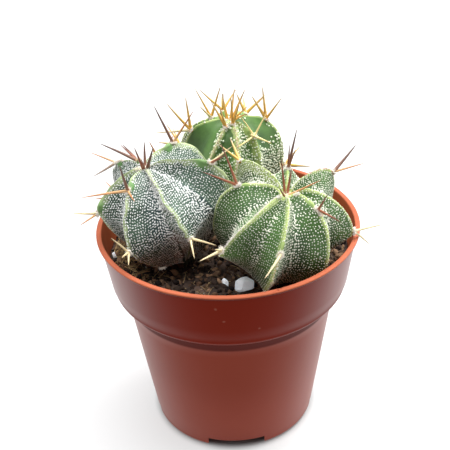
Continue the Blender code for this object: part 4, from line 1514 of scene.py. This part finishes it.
class CACTUS_OT_spines(bpy.types.Operator):
    """Makes the spines and the wool at their roots"""

    bl_idname = "cactus.spines"
    bl_label = "Spines and wool"

    def execute(self, context):
        settings = context.scene.potted_cactus.spines
        spine_finish = tinted_finish("spine_horn", 0.42, 0.45, 1600.0)
        wool_finish = tinted_finish("areole_wool", 0.95, 0.1, 2500.0)
        # Painted light: a faint glow that lightens the wool's self-shaded hairs.
        wool_finish.set("Emission Color", settings.wool)
        wool_finish.set("Emission Strength", settings.glow)
        walls = [tree_of(soil_skin()), node_tree("pot")]
        for i, plant in enumerate(PLANTS):
            later = [SKINS[other.name].tree for other in PLANTS[i + 1 :]]
            spines, areoles = spines_of(plant, walls + later)
            walls.append(node_tree(plant.name))
            self.spines(plant, spines, settings, spine_finish)
            self.wool(plant, areoles, settings, wool_finish)
        return {"FINISHED"}

    def spines(self, plant, spines, settings, finish):
        draw = random.Random(plant.seed + 200)
        copies = Copies(strand(8, 9, 0.60, 1.2))
        for root, direction, long, tints in spines:
            stout = 1.35 if tints is DARK and plant is RIGHT else 1.25 if tints in (DARK, GOLD) else 1.0
            wide = settings.radius * draw.uniform(0.85, 1.15) * stout
            across = direction.orthogonal().normalized()
            across.rotate(Matrix.Rotation(draw.uniform(0, math.tau), 3, direction))
            bow = across * long * draw.uniform(-0.05, 0.05)
            start = root - direction * SPINE_DEPTH
            shape = basis(direction, across) @ Matrix.Diagonal((wide, wide, long + SPINE_DEPTH))
            copies.add(shape, start, bow, tints)
        dress(plant.piece("spines"), copies.mesh(), finish, plant.slot)

    def wool(self, plant, areoles, settings, finish):
        draw = random.Random(plant.seed + 300)
        copies = Copies(strand(3, 3, 0.6))
        for point, outward, along, size in areoles:
            aside = outward.cross(along).normalized()
            for _ in range(int(HAIRS * size)):
                turn, radius = draw.uniform(0, math.tau), math.sqrt(draw.random()) * size * 0.92 * MM
                root = point + (along * math.cos(turn) * 1.1 + aside * math.sin(turn) * 0.85) * radius
                lean = outward + (root - point) / (1.2 * MM) * 0.5
                shade = scaled(settings.wool, draw.choice((0.8, 1.0, 1.1, 1.18)))
                self.hair(copies, draw, root - outward * 0.3 * MM, lean, settings.hair, 0.45, shade)
        for owner, index, start, end, aside_mm, wide, count, shade in STRIPS:
            if owner != plant.name:
                continue
            for _ in range(count):
                point, outward, along = areole_frame(plant, index, draw.uniform(start, end))
                aside = outward.cross(along).normalized()
                root = point + aside * (aside_mm + draw.gauss(0, wide)) * MM
                near, normal, _, _ = SKINS[plant.name].tree.find_nearest(root)
                tint = scaled(shade, draw.choice((0.6, 0.85, 1.0, 1.12)))
                lean = along * -0.9 + normal * 0.5
                self.hair(copies, draw, near - normal * 0.1 * MM, lean, STRIP_HAIR, 0.55, tint)
        dress(plant.piece("wool"), copies.mesh(), finish, plant.slot)

    def hair(self, copies, draw, root, lean, usual, stray, shade):
        """One hair of the wool, from its root along its lean."""
        direction = (lean + random_vector(draw, stray)).normalized()
        long = usual * draw.uniform(0.6, 1.2)
        wide = draw.uniform(0.08, 0.13) * MM
        shape = basis(direction) @ Matrix.Diagonal((wide, wide, long))
        copies.add(shape, root, random_vector(draw, 0.5) * long * 0.5, (shade, shade))


# ---- Stage ----


# Lights: name, place and size in metres, and colour
LIGHTS = (
    ("key", (0.34, 0.22, 0.50), 0.35, (1.0, 0.985, 0.96)),
    ("top", (0.06, 0.12, 1.05), 1.0, (0.98, 0.99, 1.0)),
    ("left", (-0.55, -0.05, 0.24), 0.5, WHITE),
    ("right", (0.55, -0.02, 0.24), 0.5, WHITE),
    ("front", (-0.25, -0.35, 0.80), 0.5, WHITE),
)

# The camera's angles in degrees, its place in metres, and its focal length over the picture's width
CAMERA_ANGLES = (33.203, 2.059, -0.189, -2.346)
CAMERA_PLACE = (0, -0.23905, 0.21645)
CAMERA_FOCUS = 860.136 / 450


def swung(first, second, angle):
    """Two directions at a right angle, both turned towards the second."""
    across, along = math.sin(angle), math.cos(angle)
    return first * along + second * across, second * along - first * across


class CACTUS_OT_stage(bpy.types.Operator):
    """Lays the pale floor and sets the lights and the camera"""

    bl_idname = "cactus.stage"
    bl_label = "Stage"

    def execute(self, context):
        scene = context.scene
        settings = scene.potted_cactus.stage
        scene.view_settings.view_transform = "Standard"
        self.floor(settings)
        for name, place, size, shade in LIGHTS:
            self.light(name, place, size, shade, getattr(settings, name))
        self.world(scene, settings.fill, settings.glow + settings.floor[0] * settings.fill)
        scene.camera = self.camera()
        return {"FINISHED"}

    def floor(self, settings):
        """A pale sheet lit from below, apart from where the pot stands."""
        bm = bmesh.new()
        bmesh.ops.create_circle(bm, cap_ends=True, segments=96, radius=4.0)
        floor = placed("floor", mesh_of(bm, "floor"))
        finish = Finish("lit_sheet", 0.9, 0.2)
        finish.set("Base Color", settings.floor)
        away = finish.distance(finish.place(), (0.0, 0.0, 0.0))
        # Painted shadow: the glow fades out under the pot and in a thin ring round its foot.
        glow = finish.step(away, FOOT_RADIUS - 2.5 * MM, FOOT_RADIUS + 2 * MM)
        finish.set("Emission Color", finish.mix(BLACK, (WHITE, glow)))
        finish.set("Emission Strength", settings.glow)
        floor.data.materials.append(finish.material)

    def light(self, name, place, size, shade, power):
        data = bpy.data.lights.new(name, "AREA")
        data.shape, data.size, data.energy, data.color = "DISK", size, power, shade
        obj = placed(name, data)
        obj.location = place
        obj.rotation_euler = (Vector((0, 0, 0.06)) - Vector(place)).to_track_quat("-Z", "Y").to_euler()
        obj.visible_camera = False

    def world(self, scene, fill, seen):
        """Weak light from all round; to the camera it is as bright as the floor far off."""
        scene.world = bpy.data.worlds.new("studio")
        scene.world.use_nodes = True
        backdrop = Graph(scene.world.node_tree, "Background")
        backdrop.set("Color", WHITE)
        camera = backdrop.node("ShaderNodeLightPath", output="Is Camera Ray")
        backdrop.set("Strength", camera * (seen - fill) + fill)

    def camera(self):
        """The photograph's camera: it looks down by one angle and is then tipped, turned and rolled."""
        down, tip, turn, roll = (math.radians(a) for a in CAMERA_ANGLES)
        ahead = Vector((0, math.cos(down), -math.sin(down)))
        right = Vector((1, 0, 0))
        ahead, up = swung(ahead, right.cross(ahead), tip)
        ahead, right = swung(ahead, right, turn)
        right, up = swung(right, up, roll)
        data = bpy.data.cameras.new("camera")
        data.sensor_width = 36.0
        data.lens = CAMERA_FOCUS * data.sensor_width
        place = Matrix((right, up, -ahead)).transposed().to_4x4()
        place.translation = CAMERA_PLACE
        camera = placed("camera", data)
        camera.matrix_world = place
        return camera


# ---- Add-on ----


class CACTUS_PT_panel(bpy.types.Panel):
    """Lists the pieces and their settings"""

    bl_idname = "CACTUS_PT_panel"
    bl_label = "Potted cactus"
    bl_space_type = "VIEW_3D"
    bl_region_type = "UI"
    bl_category = "Cactus"

    def draw(self, context):
        settings = context.scene.potted_cactus
        for step, group in STEPS_IN_ORDER:
            box = self.layout.box()
            box.operator(step.bl_idname)
            values = getattr(settings, group)
            for name in type(values).__annotations__:
                box.prop(values, name)


STEPS_IN_ORDER = (
    (CACTUS_OT_pot, "pot"),
    (CACTUS_OT_soil, "soil"),
    (CACTUS_OT_flesh, "flesh"),
    (CACTUS_OT_flecks, "flecks"),
    (CACTUS_OT_spines, "spines"),
    (CACTUS_OT_stage, "stage"),
)
CLASSES = (
    PotSettings, SoilSettings, FleshSettings, FleckSettings, SpineSettings, StageSettings, CactusSettings,
    *(step for step, _ in STEPS_IN_ORDER), CACTUS_PT_panel,
)


def register():
    for kind in CLASSES:
        bpy.utils.register_class(kind)
    bpy.types.Scene.potted_cactus = PointerProperty(type=CactusSettings)


def unregister():
    del bpy.types.Scene.potted_cactus
    for kind in reversed(CLASSES):
        bpy.utils.unregister_class(kind)


def main():
    register()
    for _, name in STEPS_IN_ORDER:
        getattr(bpy.ops.cactus, name)()


if __name__ == "__main__":
    main()
